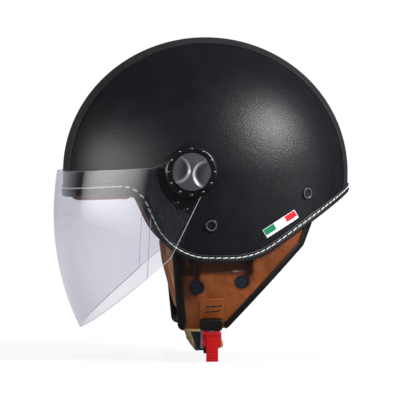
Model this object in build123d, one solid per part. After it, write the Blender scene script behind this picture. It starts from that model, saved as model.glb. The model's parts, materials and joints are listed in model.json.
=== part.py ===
from build123d import *
import os
from functools import lru_cache
from math import asin, atan2, cos, degrees, floor, hypot, pi, radians, sin, sqrt

os.makedirs("parts", exist_ok=True)

# Frame: millimetres, +X to the back of the head, +Z up, the wearer's left side at -Y.
# The origin is the middle of the widest level of the shell, where the head sits.

# Clearances
LAYER_GAP = 0.15  # between stacked skins of one body
SIDE_PLAY = 0.3  # between faces that move past each other
SHAFT_PLAY = 0.075  # radial, round a turning shaft
PIN_SEAT = 0.05  # radial, round a fixed pin or rivet
CUT_OVERRUN = 40.0  # how far a cutter reaches past what it cuts

# Shell form: an upper and a lower half ellipsoid, cut into flat facets
SHELL_HALF_LENGTH = 131.0
SHELL_HALF_WIDTH = 112.0
CROWN_HEIGHT = 123.7
SKIRT_DEPTH = 210.0  # half-axis of the lower ellipsoid
SKIRT_REACH = 150.0  # how far down the lower ellipsoid is built
FORM_SIDES = 32
CROWN_RINGS = 8
SKIRT_RINGS = 5

# Facets of small round pieces and of rounded corners
WIDE_SIDES = 36
ROUND_SIDES = 16
RIVET_SIDES = 8
ARC_STEPS = 7
CORNER_STEPS = 3

# Layers of the shell, from the outside in
LEATHER = 1.2
SHELL_WALL = 3.0
FOAM = 22.0
COMFORT = 6.0
FLAP_LEATHER = 2.5
WEBBING = 1.6
FLAP_PAD = 10.0

# Rim of the shell in side view
BROW_DROP = 22.5  # rim below the widest level, at the front of the shell
BROW_CORNER_DROP = 17.6
RIM_SHARES = (0.5099, 0.284, 0.3183)  # brow corner, cheek foot and nape foot, of the half length
BROW_CORNER = (-RIM_SHARES[0] * SHELL_HALF_LENGTH, -BROW_CORNER_DROP)
CHEEK_FOOT = -RIM_SHARES[1] * SHELL_HALF_LENGTH
RIM_DEPTH = 80.0
NAPE_FOOT = RIM_SHARES[2] * SHELL_HALF_LENGTH
NAPE_DROP = 17.5  # rim below the widest level, at the back of the shell
BROW_RADIUS = 20.0
RIM_RADIUS_SHARES = (0.4427, 0.5496)  # cheek and nape, of the half length
CHEEK_RADIUS = RIM_RADIUS_SHARES[0] * SHELL_HALF_LENGTH
NAPE_RADIUS = RIM_RADIUS_SHARES[1] * SHELL_HALF_LENGTH

# Leather cover and trim
BAND_HALF_WIDTH = 33.0
WELT_WIDTH = 1.6
WELT_RISE = 0.7
TRIM_LEATHER = 1.3
TRIM_HEIGHT = 7.3

# Liner
FOAM_RISE = 14.0  # foam's lower edge above the rim
BROW_PAD_DROP = 4.5
PAD_SHARES = (0.5496, 0.3206, 0.7481)  # brow pad end, brow pad back and neck roll front
BROW_PAD_END = -PAD_SHARES[0] * SHELL_HALF_LENGTH
BROW_PAD_BACK = -PAD_SHARES[1] * SHELL_HALF_LENGTH
NECK_ROLL_FRONT = PAD_SHARES[2] * SHELL_HALF_LENGTH

# Ear flaps, outline in side view
FLAP_BACK_SHARES = (0.6527, 0.7481)  # back corners, of the half length
FLAP_CORNERS = [
    (-35.5, -48.0), (-27.0, -141.6), (15.5, -140.2),
    (FLAP_BACK_SHARES[0] * SHELL_HALF_LENGTH, -64.5), (FLAP_BACK_SHARES[1] * SHELL_HALF_LENGTH, -32.0),
]
FLAP_RADII = [0, 5.0, 9.0, 6.0, 0]
FLAP_LAP = 12.0  # how far the flap reaches up inside the rim
BINDING = 1.0
BINDING_WIDTH = 5.5
BINDING_FRONT_END = -20.0
BINDING_BACK_START = 19.0
BINDING_BREAK_Z = -128.0
VENT_RADIUS = 6.2
VENT_PLACES = [(-11.3, -102.7), (28.7, -98.0)]
MESH_THICKNESS = 1.0
PAD_BACK_SHARES = (0.603, 0.687)  # back corners, of the half length
PAD_CORNERS = [
    (-41.0, -57.0), (-37.0, -86.0), (-24.5, -132.0), (9.0, -133.0),
    (PAD_BACK_SHARES[0] * SHELL_HALF_LENGTH, -66.0), (PAD_BACK_SHARES[1] * SHELL_HALF_LENGTH, -42.0),
]
PAD_CENTRE = (18.0, -86.0)
PAD_CORNER_RADIUS = 9.0
PAD_CORNER_STEPS = 2

# Strap
STRAP_WIDTH = 19.0
STRAP_X = 2.0
STRAP_SIDE = 82.7  # middle of the webbing where it leaves the flap
STRAP_EXIT_TOP = -119.0
STRAP_END = -141.0
FRONT_ANCHOR = (0.7, -45.7)
REAR_ANCHOR_SHARE = 0.6794  # of the half length
REAR_ANCHOR = (REAR_ANCHOR_SHARE * SHELL_HALF_LENGTH, -17.5)
ANCHOR_TAIL = 9.0
REAR_STRAP_FOOT = (8.0, -108.0)
KEEPER_WIDTH = 21.5
KEEPER_TOP = -112.0
KEEPER_FOOT = -131.0
KEEPER_LEATHER = 1.2

# Anchor rivets
RIVET_HEAD_RADIUS = 5.9
RIVET_HEAD_HEIGHT = 1.3
RIVET_DISH_RADIUS = 4.1
RIVET_DISH_DEPTH = 0.6
RIVET_SHANK_RADIUS = 2.4
RIVET_SPACER_RADIUS = 4.2
RIVET_TAIL_RADIUS = 5.0
RIVET_TAIL_HEIGHT = 1.0

# Visor
PIVOT_X = -17.8
PIVOT_Z = 3.2
PIVOT = (PIVOT_X, PIVOT_Z)
VISOR_WALL = 2.0
WING_INNER = 114.6  # inner face of the visor's flat wings, from the mid-plane
NOSE_CLEARANCE = 8.6  # visor ahead of the shell
NOSE_X = -(SHELL_HALF_LENGTH + NOSE_CLEARANCE)
NOSE_LEVEL = -38.0
NOSE_RADIUS = 240.0
CREASE_TOP = (-52.1, 6.4)
CREASE_FOOT = (-57.6, -92.6)
VISOR_TOP_SETBACK = 3.6
VISOR_TIP_SETBACK = 23.1
VISOR_TOP_FRONT = (NOSE_X + VISOR_TOP_SETBACK, 1.0)
VISOR_TIP = (NOSE_X + VISOR_TIP_SETBACK, -142.4)
VISOR_HEEL = (-36.6, -75.5)
VISOR_HEEL_RADIUS = 13.5
WING_RADIUS = 17.6
VISOR_LEVELS = 7
VISOR_SEGMENTS = 14

# Side pivots
BASE_RADIUS = 23.0
WASHER = 0.5
WASHER_RADIUS = 15.0
BOSS_RADIUS = 8.4
ARM_PLATE = 1.5
ARM_PLATE_FRONT = (-49.6, 7.0)
ARM_PLATE_MIDDLE = (-39.2, -21.8)
ARM_PLATE_BACK = (-18.6, -36.3)
ARM_PLATE_INSET = 1.2
ARM_RIVET_PLACES = [(-31.0, -25.5), (-22.6, -31.5)]
ARM_RIVET_RADIUS = 1.2
ARM_RIVET_HEAD = 0.5
BEZEL_RADIUS = 23.9
BEZEL_HEIGHT = 4.5
BEZEL_FLOOR = 1.2
BEZEL_BEVEL = 1.4
STUD_COUNT = 12
STUD_PITCH_RADIUS = 20.9
STUD_RADIUS = 1.25
STUD_HEIGHT = 0.8
STUD_SIDES = 8
KNOB_RADIUS = 17.25
KNOB_HEIGHT = 4.4
RECESS_RADIUS = 13.3
RECESS_FLOOR_RADIUS = 10.6
RECESS_OFFSET = 13.8
RECESS_DEPTH = 3.0
RECESS_TILT = 9.5  # degrees
SCREW_RADIUS = 4.0
SCREW_TIP = 97.5
NUT_RADIUS = 8.0
NUT_INNER = 99.0
NUT_FLANGE_RADIUS = 11.0
NUT_FLANGE = 1.6

# Flag patch on the left side
PATCH_SHARE = 0.4908  # of the half length
PATCH_CENTRE = (PATCH_SHARE * SHELL_HALF_LENGTH, -44.8)
PATCH_LENGTH = 34.5
PATCH_HEIGHT = 8.5
PATCH_TILT = 31.6  # degrees
PATCH = 0.5

# Buckle, in its own plane: u across, v up the strap, w outwards from the tongue's middle
HINGE_Y = 82.7
HINGE_Z = -137.0
TONGUE_SIDE = 88.8
TONGUE_LEVEL = -145.0
TONGUE_X = 0.6
BUCKLE_YAW = 10.0  # degrees
TONGUE_WIDTH = 10.5
TONGUE = 2.5
TONGUE_TOP = 7.4
TONGUE_FOOT = -15.5
TOOTH_PITCH = 2.2
TOOTH_DEPTH = 0.8
TOOTH_TOP = 6.5
TOOTH_FOOT = -13.0
TAIL_LEVEL = -162.0
TAIL_END = -62.0
TAIL = 1.5
TAIL_BEND = 3.0
FRAME_HALF_WIDTH = 8.4
FRAME_WALL = 1.1
FRAME_TOP = 12.5
FRAME_FOOT = -13.0
FRAME_BACK = -3.4
FRAME_PLATE = 1.25
CHEEK_TOP = 5.6
COVER_WALL = 0.8
COVER_TOP = 13.3
COVER_FOOT = 4.2
COVER_FACE = 7.6
COVER_FRONT_WALL = 1.6
COVER_CORNER = 2.5
LEVER_PIN_V = 2.6
LEVER_PIN_W = 4.2
LEVER_PIN_RADIUS = 1.0
LEVER_HUB_RADIUS = 1.9
LEVER_HALF_WIDTH = 8.8
LEVER_TOP = 2.2
LEVER_FOOT = -11.3
LEVER_UNDER = 5.8
LEVER_PLATE = 1.4
LEVER_CORNER = 2.5
PAWL_HALF_WIDTH = 4.5
PAWL_LENGTH = 2.4
SPRING_HALF_WIDTH = 2.2
SPRING_WIRE = 0.6
TAB_WIDTH = 11.0
TAB = 1.2
TAB_AXIS_V = 0.2
TAB_AXIS_W = 8.6
TAB_EYE_RADIUS = 1.1
TAB_BAR_RADIUS = 0.5
TAB_FOOT = -24.4
TAB_LUG = 1.1
STRAP_RIVET_Z = -134.8
STRAP_RIVET_RADIUS = 1.2
STRAP_RIVET_HEAD_RADIUS = 2.2
STRAP_RIVET_HEAD = 0.7

# Chin strap and its pad
CHIN_X = -8.0
CHIN_BOTTOM = -160.0
CHIN_TOP = -143.0
CHIN_CORNER_Y = 79.0
CHIN_BEND = 11.0
CHIN_BEND_STEPS = 5
CHIN_PAD_WIDTH = 33.0
CHIN_PAD = 7.5
CHIN_PAD_TOP = -146.4
CHIN_PAD_EDGE = 3.0
TAIL_RIVET_X = -2.0
TAIL_RIVET_Y = -66.5
TAIL_RIVET_RADIUS = 1.5
TAIL_RIVET_HEAD_RADIUS = 2.8
TAIL_RIVET_HEAD = 0.6

# Depths of the layers below the outside of the leather
SHELL_OUTER = LEATHER + LAYER_GAP
SHELL_INNER = SHELL_OUTER + SHELL_WALL
TRIM_OUTER = -(LAYER_GAP + TRIM_LEATHER)
TRIM_LEG = SHELL_INNER + LAYER_GAP
TRIM_INNER = TRIM_LEG + TRIM_LEATHER
FLAP_OUTER = TRIM_INNER + LAYER_GAP
FLAP_INNER = FLAP_OUTER + FLAP_LEATHER
STRAP_OUTER = FLAP_INNER + LAYER_GAP
STRAP_INNER = STRAP_OUTER + WEBBING
PAD_OUTER = STRAP_INNER + LAYER_GAP
PAD_INNER = PAD_OUTER + FLAP_PAD
FOAM_OUTER = SHELL_INNER + LAYER_GAP
FOAM_INNER = FOAM_OUTER + FOAM
COMFORT_OUTER = FOAM_INNER + LAYER_GAP
COMFORT_INNER = COMFORT_OUTER + COMFORT
RIVET_TAIL_DEPTH = STRAP_INNER + LAYER_GAP
GROOVE_DEPTH = RIVET_TAIL_DEPTH + RIVET_TAIL_HEIGHT + SIDE_PLAY

# Levels of the pivot stack, measured from the mid-plane
WING_OUTER = WING_INNER + VISOR_WALL
WASHER_TOP = WING_INNER - SIDE_PLAY
BASE_TOP = WASHER_TOP - WASHER
ARM_TOP = WING_OUTER + ARM_PLATE
BOSS_TOP = ARM_TOP + SIDE_PLAY
BEZEL_TOP = BOSS_TOP + BEZEL_HEIGHT
KNOB_UNDER = BOSS_TOP + BEZEL_FLOOR + SIDE_PLAY
KNOB_TOP = KNOB_UNDER + KNOB_HEIGHT
STACK_START = SHELL_HALF_WIDTH / 2

# Buckle plane
BUCKLE_DROP = atan2(HINGE_Z - TONGUE_LEVEL, HINGE_Y + TONGUE_SIDE)
TONGUE_ARC_RADIUS = hypot(HINGE_Z - TONGUE_LEVEL, HINGE_Y + TONGUE_SIDE)
RADIAL = Vector(0, -cos(BUCKLE_DROP), -sin(BUCKLE_DROP))
UP_STRAP = Vector(0, -sin(BUCKLE_DROP), cos(BUCKLE_DROP))
ACROSS = Vector(1, 0, 0) * cos(radians(BUCKLE_YAW)) - RADIAL * sin(radians(BUCKLE_YAW))
OUTWARD = RADIAL * cos(radians(BUCKLE_YAW)) + Vector(1, 0, 0) * sin(radians(BUCKLE_YAW))
BUCKLE_ORIGIN = Vector(TONGUE_X, -TONGUE_SIDE, TONGUE_LEVEL)
BUCKLE_PLANE = Plane(origin=BUCKLE_ORIGIN, x_dir=ACROSS, z_dir=OUTWARD)
STRAP_HINGE = Axis((0, HINGE_Y, HINGE_Z), (1, 0, 0))


# Faceted skins

def facet(corners):
    """Flat faces that fill three or four corners."""
    if len(corners) == 4:
        a, b, c, d = [Vector(*corner) for corner in corners]
        twist = (b - a).cross(d - a).dot(c - a)
        span = (b - a).length * (c - a).length * (d - a).length
        if abs(twist) > span * 1e-9:
            return [Face(Wire.make_polygon([a, b, c])), Face(Wire.make_polygon([a, c, d]))]
    return [Face(Wire.make_polygon([Vector(*corner) for corner in corners]))]


def skin(rings, first_tip=None, last_tip=None):
    """Closed solid through rings of equally many points, with flat ends or tips."""
    faces = []
    for ring, after in zip(rings, rings[1:]):
        for k in range(len(ring)):
            m = (k + 1) % len(ring)
            faces += facet([ring[k], ring[m], after[m], after[k]])
    for ring, tip in ((rings[0], first_tip), (rings[-1], last_tip)):
        if tip is None:
            faces.append(Face(Wire.make_polygon([Vector(*point) for point in ring])))
        else:
            for k in range(len(ring)):
                faces += facet([tip, ring[(k + 1) % len(ring)], ring[k]])
    solid = Solid(Shell(faces))
    if solid.volume < 0:
        solid = -solid
    return solid


@lru_cache(maxsize=None)
def form(depth):
    """The helmet's form at a depth below the leather, closed underneath at the skirt's reach."""
    length = SHELL_HALF_LENGTH - depth
    width = SHELL_HALF_WIDTH - depth
    turns = [2 * pi * k / FORM_SIDES for k in range(FORM_SIDES)]
    rings = []
    for i in range(CROWN_RINGS):
        slope = (pi / 2) * (CROWN_RINGS - 1 - i) / CROWN_RINGS
        height = (CROWN_HEIGHT - depth) * sin(slope)
        rings.append([(length * cos(slope) * cos(t), width * cos(slope) * sin(t), height) for t in turns])
    lowest = asin(SKIRT_REACH / SKIRT_DEPTH)
    for i in range(SKIRT_RINGS):
        slope = lowest * (i + 1) / SKIRT_RINGS
        height = -(SKIRT_DEPTH - depth) * sin(slope)
        rings.append([(length * cos(slope) * cos(t), width * cos(slope) * sin(t), height) for t in turns])
    return skin(rings, first_tip=(0, 0, CROWN_HEIGHT - depth))


def layer(outer, inner):
    """The space between two depths of the form."""
    return form(outer) - form(inner)


def half_width_at(depth, x, z):
    """Distance of the smooth form from the mid-plane, at a depth and a place in side view."""
    height = (CROWN_HEIGHT if z > 0 else SKIRT_DEPTH) - depth
    length = SHELL_HALF_LENGTH - depth
    return (SHELL_HALF_WIDTH - depth) * sqrt(1 - (x / length) ** 2 - (z / height) ** 2)


@lru_cache(maxsize=None)
def form_plane(place):
    """Plane of the form's facet at a place on the right side, its normal pointing outwards."""
    probe = Axis((place[0], 0, place[1]), (0, 1, 0))
    hits = form(0).find_intersection_points(probe)
    point, normal = max(hits, key=lambda hit: hit[0].Y)
    if normal.Y < 0:
        normal = -normal
    return Plane(origin=point, z_dir=normal)


def side_plane(place):
    """Plane across +Y at a place in side view, heights measured from the mid-plane."""
    return Plane(origin=(place[0], 0, place[1]), x_dir=(1, 0, 0), z_dir=(0, 1, 0))


def spool(plane, profile, sides):
    """Facetted round piece through pairs of radius and height over the plane."""
    rings = []
    for radius, height in profile:
        ring = []
        for k in range(sides):
            turn = 2 * pi * (k + 1 / 2) / sides
            spot = Vector(radius * cos(turn), radius * sin(turn), height)
            ring.append(tuple(plane.from_local_coords(spot)))
        rings.append(ring)
    return skin(rings)


def post(place, start, end, radius, sides):
    """Facetted rod along +Y at a place in side view, its corners on the radius."""
    return spool(side_plane(place), [(radius, start), (radius, end)], sides)


def facet_reach(radius, sides):
    """Corner radius of a facetted hole that clears a circle of the radius."""
    return radius / cos(pi / sides)


# Outlines in side view

def shifted_corners(points, distance):
    """Corners of an open outline moved sideways, upwards when it runs towards +X."""
    normals = []
    for (x0, z0), (x1, z1) in zip(points, points[1:]):
        run = hypot(x1 - x0, z1 - z0)
        normals.append(Vector(-(z1 - z0) / run, (x1 - x0) / run))
    normals = [normals[0]] + normals + [normals[-1]]
    moved = []
    for (x, z), before, after in zip(points, normals, normals[1:]):
        middle = (before + after).normalized()
        reach = distance / middle.dot(after)
        moved.append((x + middle.X * reach, z + middle.Y * reach))
    return moved


def extended(start, end, reach):
    """A point beyond end, on the line from start."""
    run = hypot(end[0] - start[0], end[1] - start[1])
    share = reach / run
    return (end[0] + (end[0] - start[0]) * share, end[1] + (end[1] - start[1]) * share)


@lru_cache(maxsize=None)
def below_rim(offset):
    """Everything below the rim line, moved up by the offset."""
    front = (-SHELL_HALF_LENGTH, -BROW_DROP)
    cheek = (CHEEK_FOOT, -RIM_DEPTH)
    nape = (NAPE_FOOT, -RIM_DEPTH)
    back = (SHELL_HALF_LENGTH, -NAPE_DROP)
    ends = (extended(BROW_CORNER, front, CUT_OVERRUN), extended(nape, back, CUT_OVERRUN))
    points = shifted_corners([ends[0], BROW_CORNER, cheek, nape, ends[1]], offset)
    radii = [BROW_RADIUS + offset, CHEEK_RADIUS - offset, NAPE_RADIUS - offset]
    floor_z = -(SKIRT_REACH + CUT_OVERRUN)
    line = [points[0]]
    for k, radius in enumerate(radii, start=1):
        line += corner_arc(points[k - 1], points[k], points[k + 1], radius, ARC_STEPS)
    line += [points[-1], (points[-1][0], floor_z), (points[0][0], floor_z)]
    return through(make_face(Polyline(*line, close=True)))


def rim_band(low, high):
    """The band between two offsets from the rim line."""
    return below_rim(high) - below_rim(low)


def through(face):
    """A side-view face carried through the whole width."""
    return extrude(Plane.XZ * face, amount=SHELL_HALF_WIDTH + CUT_OVERRUN, both=True)


def right_half(face):
    """A side-view face carried from the mid-plane to beyond the right side."""
    return extrude(Plane.XZ * face, amount=-(SHELL_HALF_WIDTH + CUT_OVERRUN))


def plate_face(points, radii):
    """A closed outline with some of its corners rounded."""
    return make_face(Polyline(*rounded_loop(points, radii, CORNER_STEPS), close=True))


def strip_face(start, end, width, tail):
    """A straight strip from start to end, longer by the tail at its start."""
    angle = degrees(atan2(end[1] - start[1], end[0] - start[0]))
    run = hypot(end[0] - start[0], end[1] - start[1])
    strip = Pos((run - tail) / 2, 0) * Rectangle(run + tail, width)
    return Pos(*start) * Rot(0, 0, angle) * strip


def tool_box(low, high):
    """A box between two corners."""
    size = [b - a for a, b in zip(low, high)]
    middle = [(a + b) / 2 for a, b in zip(low, high)]
    return Pos(*middle) * Box(*size)


def everywhere():
    """Half-sizes that hold the whole helmet."""
    return SHELL_HALF_LENGTH + CUT_OVERRUN, SHELL_HALF_WIDTH + CUT_OVERRUN, SKIRT_REACH + CUT_OVERRUN


def rod(place, start, end, radius):
    """A cylinder along +Y at a place in side view."""
    plane = Plane(origin=(place[0], start, place[1]), x_dir=(1, 0, 0), z_dir=(0, 1, 0))
    return plane * Cylinder(radius, end - start, align=(Align.CENTER, Align.CENTER, Align.MIN))


def left_of(shape):
    """The mirror image on the left side."""
    return mirror(shape, about=Plane.XZ)


def corner_arc(last, corner, following, radius, steps):
    """Points of the arc that rounds a corner."""
    here = Vector(*corner)
    if not radius:
        return [corner]
    before = (Vector(*last) - here).normalized()
    after = (Vector(*following) - here).normalized()
    half = radians(before.get_angle(after)) / 2
    middle = here + (before + after).normalized() * (radius / sin(half))
    start = here + before * (radius * cos(half) / sin(half)) - middle
    turn = pi - 2 * half
    sign = 1 if start.cross(here - middle).Z > 0 else -1
    points = []
    for i in range(steps + 1):
        point = middle + start.rotate(Axis.Z, degrees(sign * turn * i / steps))
        points.append((point.X, point.Y))
    return points


def rounded_loop(corners, radii, steps):
    """Points along a closed outline whose corners are arcs."""
    loop = []
    for k, (corner, radius) in enumerate(zip(corners, radii)):
        loop += corner_arc(corners[k - 1], corner, corners[(k + 1) % len(corners)], radius, steps)
    return loop


# Shell, leather and trim

def screw_holes(radius):
    """Bores for the pivot screws through both sides."""
    reach = SHELL_HALF_WIDTH + CUT_OVERRUN
    hole = post((PIVOT_X, PIVOT_Z), STACK_START, reach, facet_reach(radius, ROUND_SIDES), ROUND_SIDES)
    return Part() + hole + left_of(hole)


def anchor_holes():
    """Bores for the strap rivets on the right side, square to the form."""
    holes = Part()
    radius = RIVET_SHANK_RADIUS + PIN_SEAT
    for place in (FRONT_ANCHOR, REAR_ANCHOR):
        holes += spool(form_plane(place), [(radius, -CUT_OVERRUN), (radius, CUT_OVERRUN)], RIVET_SIDES)
    return holes


@lru_cache(maxsize=None)
def shell_openings():
    holes = anchor_holes()
    return screw_holes(SCREW_RADIUS + SIDE_PLAY) + holes + left_of(holes)


def make_outer_shell():
    shell = layer(SHELL_OUTER, SHELL_INNER) - below_rim(TRIM_LEATHER + LAYER_GAP)
    return shell - shell_openings()


def make_leather():
    """Centre band and the two side panels."""
    length, width, height = everywhere()
    cover = layer(0, LEATHER) - below_rim(TRIM_LEATHER + LAYER_GAP) - shell_openings()
    inner = BAND_HALF_WIDTH - WELT_WIDTH / 2
    outer = BAND_HALF_WIDTH + WELT_WIDTH / 2
    band = cover & tool_box((-length, -inner, -height), (length, inner, height))
    right = cover & tool_box((-length, outer, -height), (length, width, height))
    left = cover & tool_box((-length, -width, -height), (length, -outer, height))
    return band, left, right


def make_welt():
    """Raised seam between the band and the right panel."""
    length, width, height = everywhere()
    inner = BAND_HALF_WIDTH - WELT_WIDTH / 2
    outer = BAND_HALF_WIDTH + WELT_WIDTH / 2
    slab = tool_box((-length, inner, -height), (length, outer, height))
    return (layer(-WELT_RISE, LEATHER) & slab) - below_rim(TRIM_HEIGHT + LAYER_GAP)


def make_trim():
    """Leather channel folded round the rim."""
    channel = layer(TRIM_OUTER, TRIM_INNER) & rim_band(0, TRIM_HEIGHT)
    groove = layer(-LAYER_GAP, TRIM_LEG) & rim_band(TRIM_LEATHER, TRIM_HEIGHT + TRIM_LEATHER)
    return channel - groove


def make_foam():
    foam = layer(FOAM_OUTER, FOAM_INNER) - below_rim(FOAM_RISE)
    radius = NUT_FLANGE_RADIUS + 2 * SIDE_PLAY
    pocket = post(PIVOT, SCREW_TIP - SIDE_PLAY, SHELL_HALF_WIDTH, radius, ROUND_SIDES)
    strips = strap_strips(STRAP_WIDTH + 2 * SIDE_PLAY, ANCHOR_TAIL + SIDE_PLAY)
    groove = layer(SHELL_INNER, GROOVE_DEPTH) & strips
    cuts = groove + pocket
    return foam - cuts - left_of(cuts)


def make_comfort_liner():
    return layer(COMFORT_OUTER, COMFORT_INNER) - below_rim(FOAM_RISE)


def make_brow_pad():
    length, width, height = everywhere()
    ring = layer(FLAP_OUTER, COMFORT_INNER)
    front = rim_band(-BROW_PAD_DROP, FOAM_RISE - LAYER_GAP)
    front &= tool_box((-length, -width, -height), (BROW_PAD_END, width, height))
    side = rim_band(LAYER_GAP, FOAM_RISE - LAYER_GAP)
    side &= tool_box((BROW_PAD_END, -width, -height), (BROW_PAD_BACK, width, height))
    return ring & (front + side)


def make_neck_roll():
    length, width, height = everywhere()
    ring = layer(FLAP_OUTER, COMFORT_INNER) & rim_band(LAYER_GAP, FOAM_RISE - LAYER_GAP)
    return ring & tool_box((NECK_ROLL_FRONT, -width, -height), (length, width, height))


def make_patch():
    """Flag patch on the left panel."""
    face = Pos(*PATCH_CENTRE) * Rot(0, 0, PATCH_TILT) * Rectangle(PATCH_LENGTH, PATCH_HEIGHT)
    prism = extrude(Plane.XZ * face, amount=SHELL_HALF_WIDTH + CUT_OVERRUN)
    return layer(-(LAYER_GAP + PATCH), -LAYER_GAP) & prism


# Ear flaps, built on the right side

def flap_face():
    return plate_face(FLAP_CORNERS, FLAP_RADII)


def strap_slot():
    return tool_box(
        (STRAP_X - STRAP_WIDTH / 2 - SIDE_PLAY, STRAP_SIDE - WEBBING / 2 - SIDE_PLAY, STRAP_END),
        (
            STRAP_X + STRAP_WIDTH / 2 + SIDE_PLAY,
            STRAP_SIDE + WEBBING / 2 + SIDE_PLAY,
            STRAP_EXIT_TOP + WEBBING,
        ),
    )


def make_ear_flap():
    flap = layer(FLAP_OUTER, FLAP_INNER) & right_half(flap_face()) & below_rim(FLAP_LAP)
    for place in VENT_PLACES:
        flap -= post(place, STACK_START, SHELL_HALF_WIDTH, VENT_RADIUS, ROUND_SIDES)
    return flap - strap_slot()


def make_vent_mesh():
    """Mesh discs set in the vent holes."""
    start = FLAP_INNER - LAYER_GAP - MESH_THICKNESS
    sheet = layer(start, start + MESH_THICKNESS)
    discs = Part()
    for place in VENT_PLACES:
        discs += post(place, STACK_START, SHELL_HALF_WIDTH, VENT_RADIUS - LAYER_GAP, ROUND_SIDES)
    return sheet & discs


def make_flap_binding():
    """Folded binding along the flap's front and back edges."""
    length, width, height = everywhere()
    face = flap_face()
    outer = offset(face, amount=LAYER_GAP + BINDING, kind=Kind.INTERSECTION)
    inner = offset(face, amount=-(BINDING_WIDTH - BINDING), kind=Kind.INTERSECTION)
    wrap = layer(FLAP_OUTER - LAYER_GAP - BINDING, FLAP_INNER + LAYER_GAP + BINDING)
    wrap &= right_half(outer - inner) & below_rim(-SIDE_PLAY)
    groove = layer(FLAP_OUTER - LAYER_GAP, FLAP_INNER + LAYER_GAP)
    groove &= right_half(offset(face, amount=LAYER_GAP, kind=Kind.INTERSECTION))
    bottom = tool_box((BINDING_FRONT_END, 0, -height), (BINDING_BACK_START, width, BINDING_BREAK_Z))
    return wrap - groove - bottom


def on_form(depth, x, z):
    return (x, half_width_at(depth, x, z), z)


def make_ear_pad():
    """Puffed pad behind the flap: crowned inside, drawn in at its edge."""
    loop = rounded_loop(PAD_CORNERS, [PAD_CORNER_RADIUS] * len(PAD_CORNERS), PAD_CORNER_STEPS)
    edge_share, crown_share, heart_share = 0.94, 0.8, 0.42
    start = PAD_OUTER - FLAP_PAD / 4
    steps = [
        (edge_share, start),
        (1, PAD_OUTER + FLAP_PAD / 4),
        (1, PAD_OUTER + FLAP_PAD / 2),
        (edge_share, PAD_INNER - FLAP_PAD / 4),
        (crown_share, PAD_INNER),
        (heart_share, PAD_INNER + FLAP_PAD / 5),
    ]
    rings = []
    for share, depth in steps:
        ring = []
        for x, z in loop:
            place_x = PAD_CENTRE[0] + (x - PAD_CENTRE[0]) * share
            place_z = PAD_CENTRE[1] + (z - PAD_CENTRE[1]) * share
            ring.append(on_form(depth, place_x, place_z))
        rings.append(ring)
    tips = [on_form(depth, *PAD_CENTRE) for depth in (start, PAD_INNER + FLAP_PAD / 4)]
    pad = Part() + skin(rings, tips[0], tips[1])
    return (pad & form(PAD_OUTER)) & below_rim(FOAM_RISE - LAYER_GAP)


def make_keeper():
    """Leather patch over the slot where the strap leaves the flap."""
    top_y = half_width_at(FLAP_OUTER, STRAP_X, KEEPER_TOP) + SIDE_PLAY
    foot_y = STRAP_SIDE + WEBBING / 2 + SIDE_PLAY
    profile = make_face(Polyline(
        (top_y, KEEPER_TOP), (foot_y, KEEPER_FOOT),
        (foot_y + KEEPER_LEATHER, KEEPER_FOOT), (top_y + KEEPER_LEATHER, KEEPER_TOP - KEEPER_LEATHER),
        close=True,
    ))
    return Pos(STRAP_X, 0, 0) * extrude(Plane.YZ * profile, amount=KEEPER_WIDTH / 2, both=True)


def strap_strips(width, tail):
    """Side-view paths of the front and rear straps inside the flap."""
    front_foot = (STRAP_X, STRAP_EXIT_TOP - WEBBING)
    front = strip_face(FRONT_ANCHOR, front_foot, width, tail)
    rear = strip_face(REAR_ANCHOR, REAR_STRAP_FOOT, width, tail)
    return right_half(front) + right_half(rear)


def make_side_strap(end_z):
    """Front and rear webbing from the shell to the flap's slot, and the end that hangs out."""
    webbing = layer(STRAP_OUTER, STRAP_INNER) & strap_strips(STRAP_WIDTH, ANCHOR_TAIL)
    end = tool_box(
        (STRAP_X - STRAP_WIDTH / 2, STRAP_SIDE - WEBBING / 2, end_z),
        (STRAP_X + STRAP_WIDTH / 2, STRAP_SIDE + WEBBING / 2, STRAP_EXIT_TOP),
    )
    return webbing + end - anchor_holes()


def make_anchor_rivet(place):
    """Dished rivet with its spacer and tail washer, fitted to the layers it joins."""
    plane = form_plane(place)
    top = LAYER_GAP + RIVET_HEAD_HEIGHT
    edge = RIVET_HEAD_RADIUS - RIVET_DISH_DEPTH
    dish = [(RIVET_DISH_RADIUS, top - RIVET_DISH_DEPTH), (RIVET_DISH_RADIUS + RIVET_DISH_DEPTH, top)]
    outline = dish + [(edge, top), (RIVET_HEAD_RADIUS, -LEATHER)]
    head = spool(plane, outline, ROUND_SIDES) - form(-LAYER_GAP)
    shank_end = -(RIVET_TAIL_DEPTH + RIVET_TAIL_HEIGHT)
    middle = (-LAYER_GAP - TRIM_LEATHER, -STRAP_INNER)
    shank = [(RIVET_SHANK_RADIUS, top - RIVET_DISH_DEPTH), (RIVET_SHANK_RADIUS, shank_end)]
    rivet = Part() + spool(plane, shank, RIVET_SIDES)
    spacer = spool(plane, [(RIVET_SPACER_RADIUS, height) for height in middle], RIVET_SIDES)
    tail = spool(plane, [(RIVET_TAIL_RADIUS, -SHELL_INNER), (RIVET_TAIL_RADIUS, shank_end)], RIVET_SIDES)
    rivet += head
    rivet += spacer & layer(SHELL_INNER + LAYER_GAP, STRAP_OUTER - LAYER_GAP)
    return rivet + (tail & form(RIVET_TAIL_DEPTH))


# Visor

def visor_section(z):
    """Nose, crease and arc of the visor's outer face at one level."""
    nose = NOSE_X + NOSE_RADIUS - sqrt(NOSE_RADIUS**2 - (z - NOSE_LEVEL) ** 2)
    share = (z - CREASE_TOP[1]) / (CREASE_FOOT[1] - CREASE_TOP[1])
    crease = CREASE_TOP[0] + share * (CREASE_FOOT[0] - CREASE_TOP[0])
    return nose, crease


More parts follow.
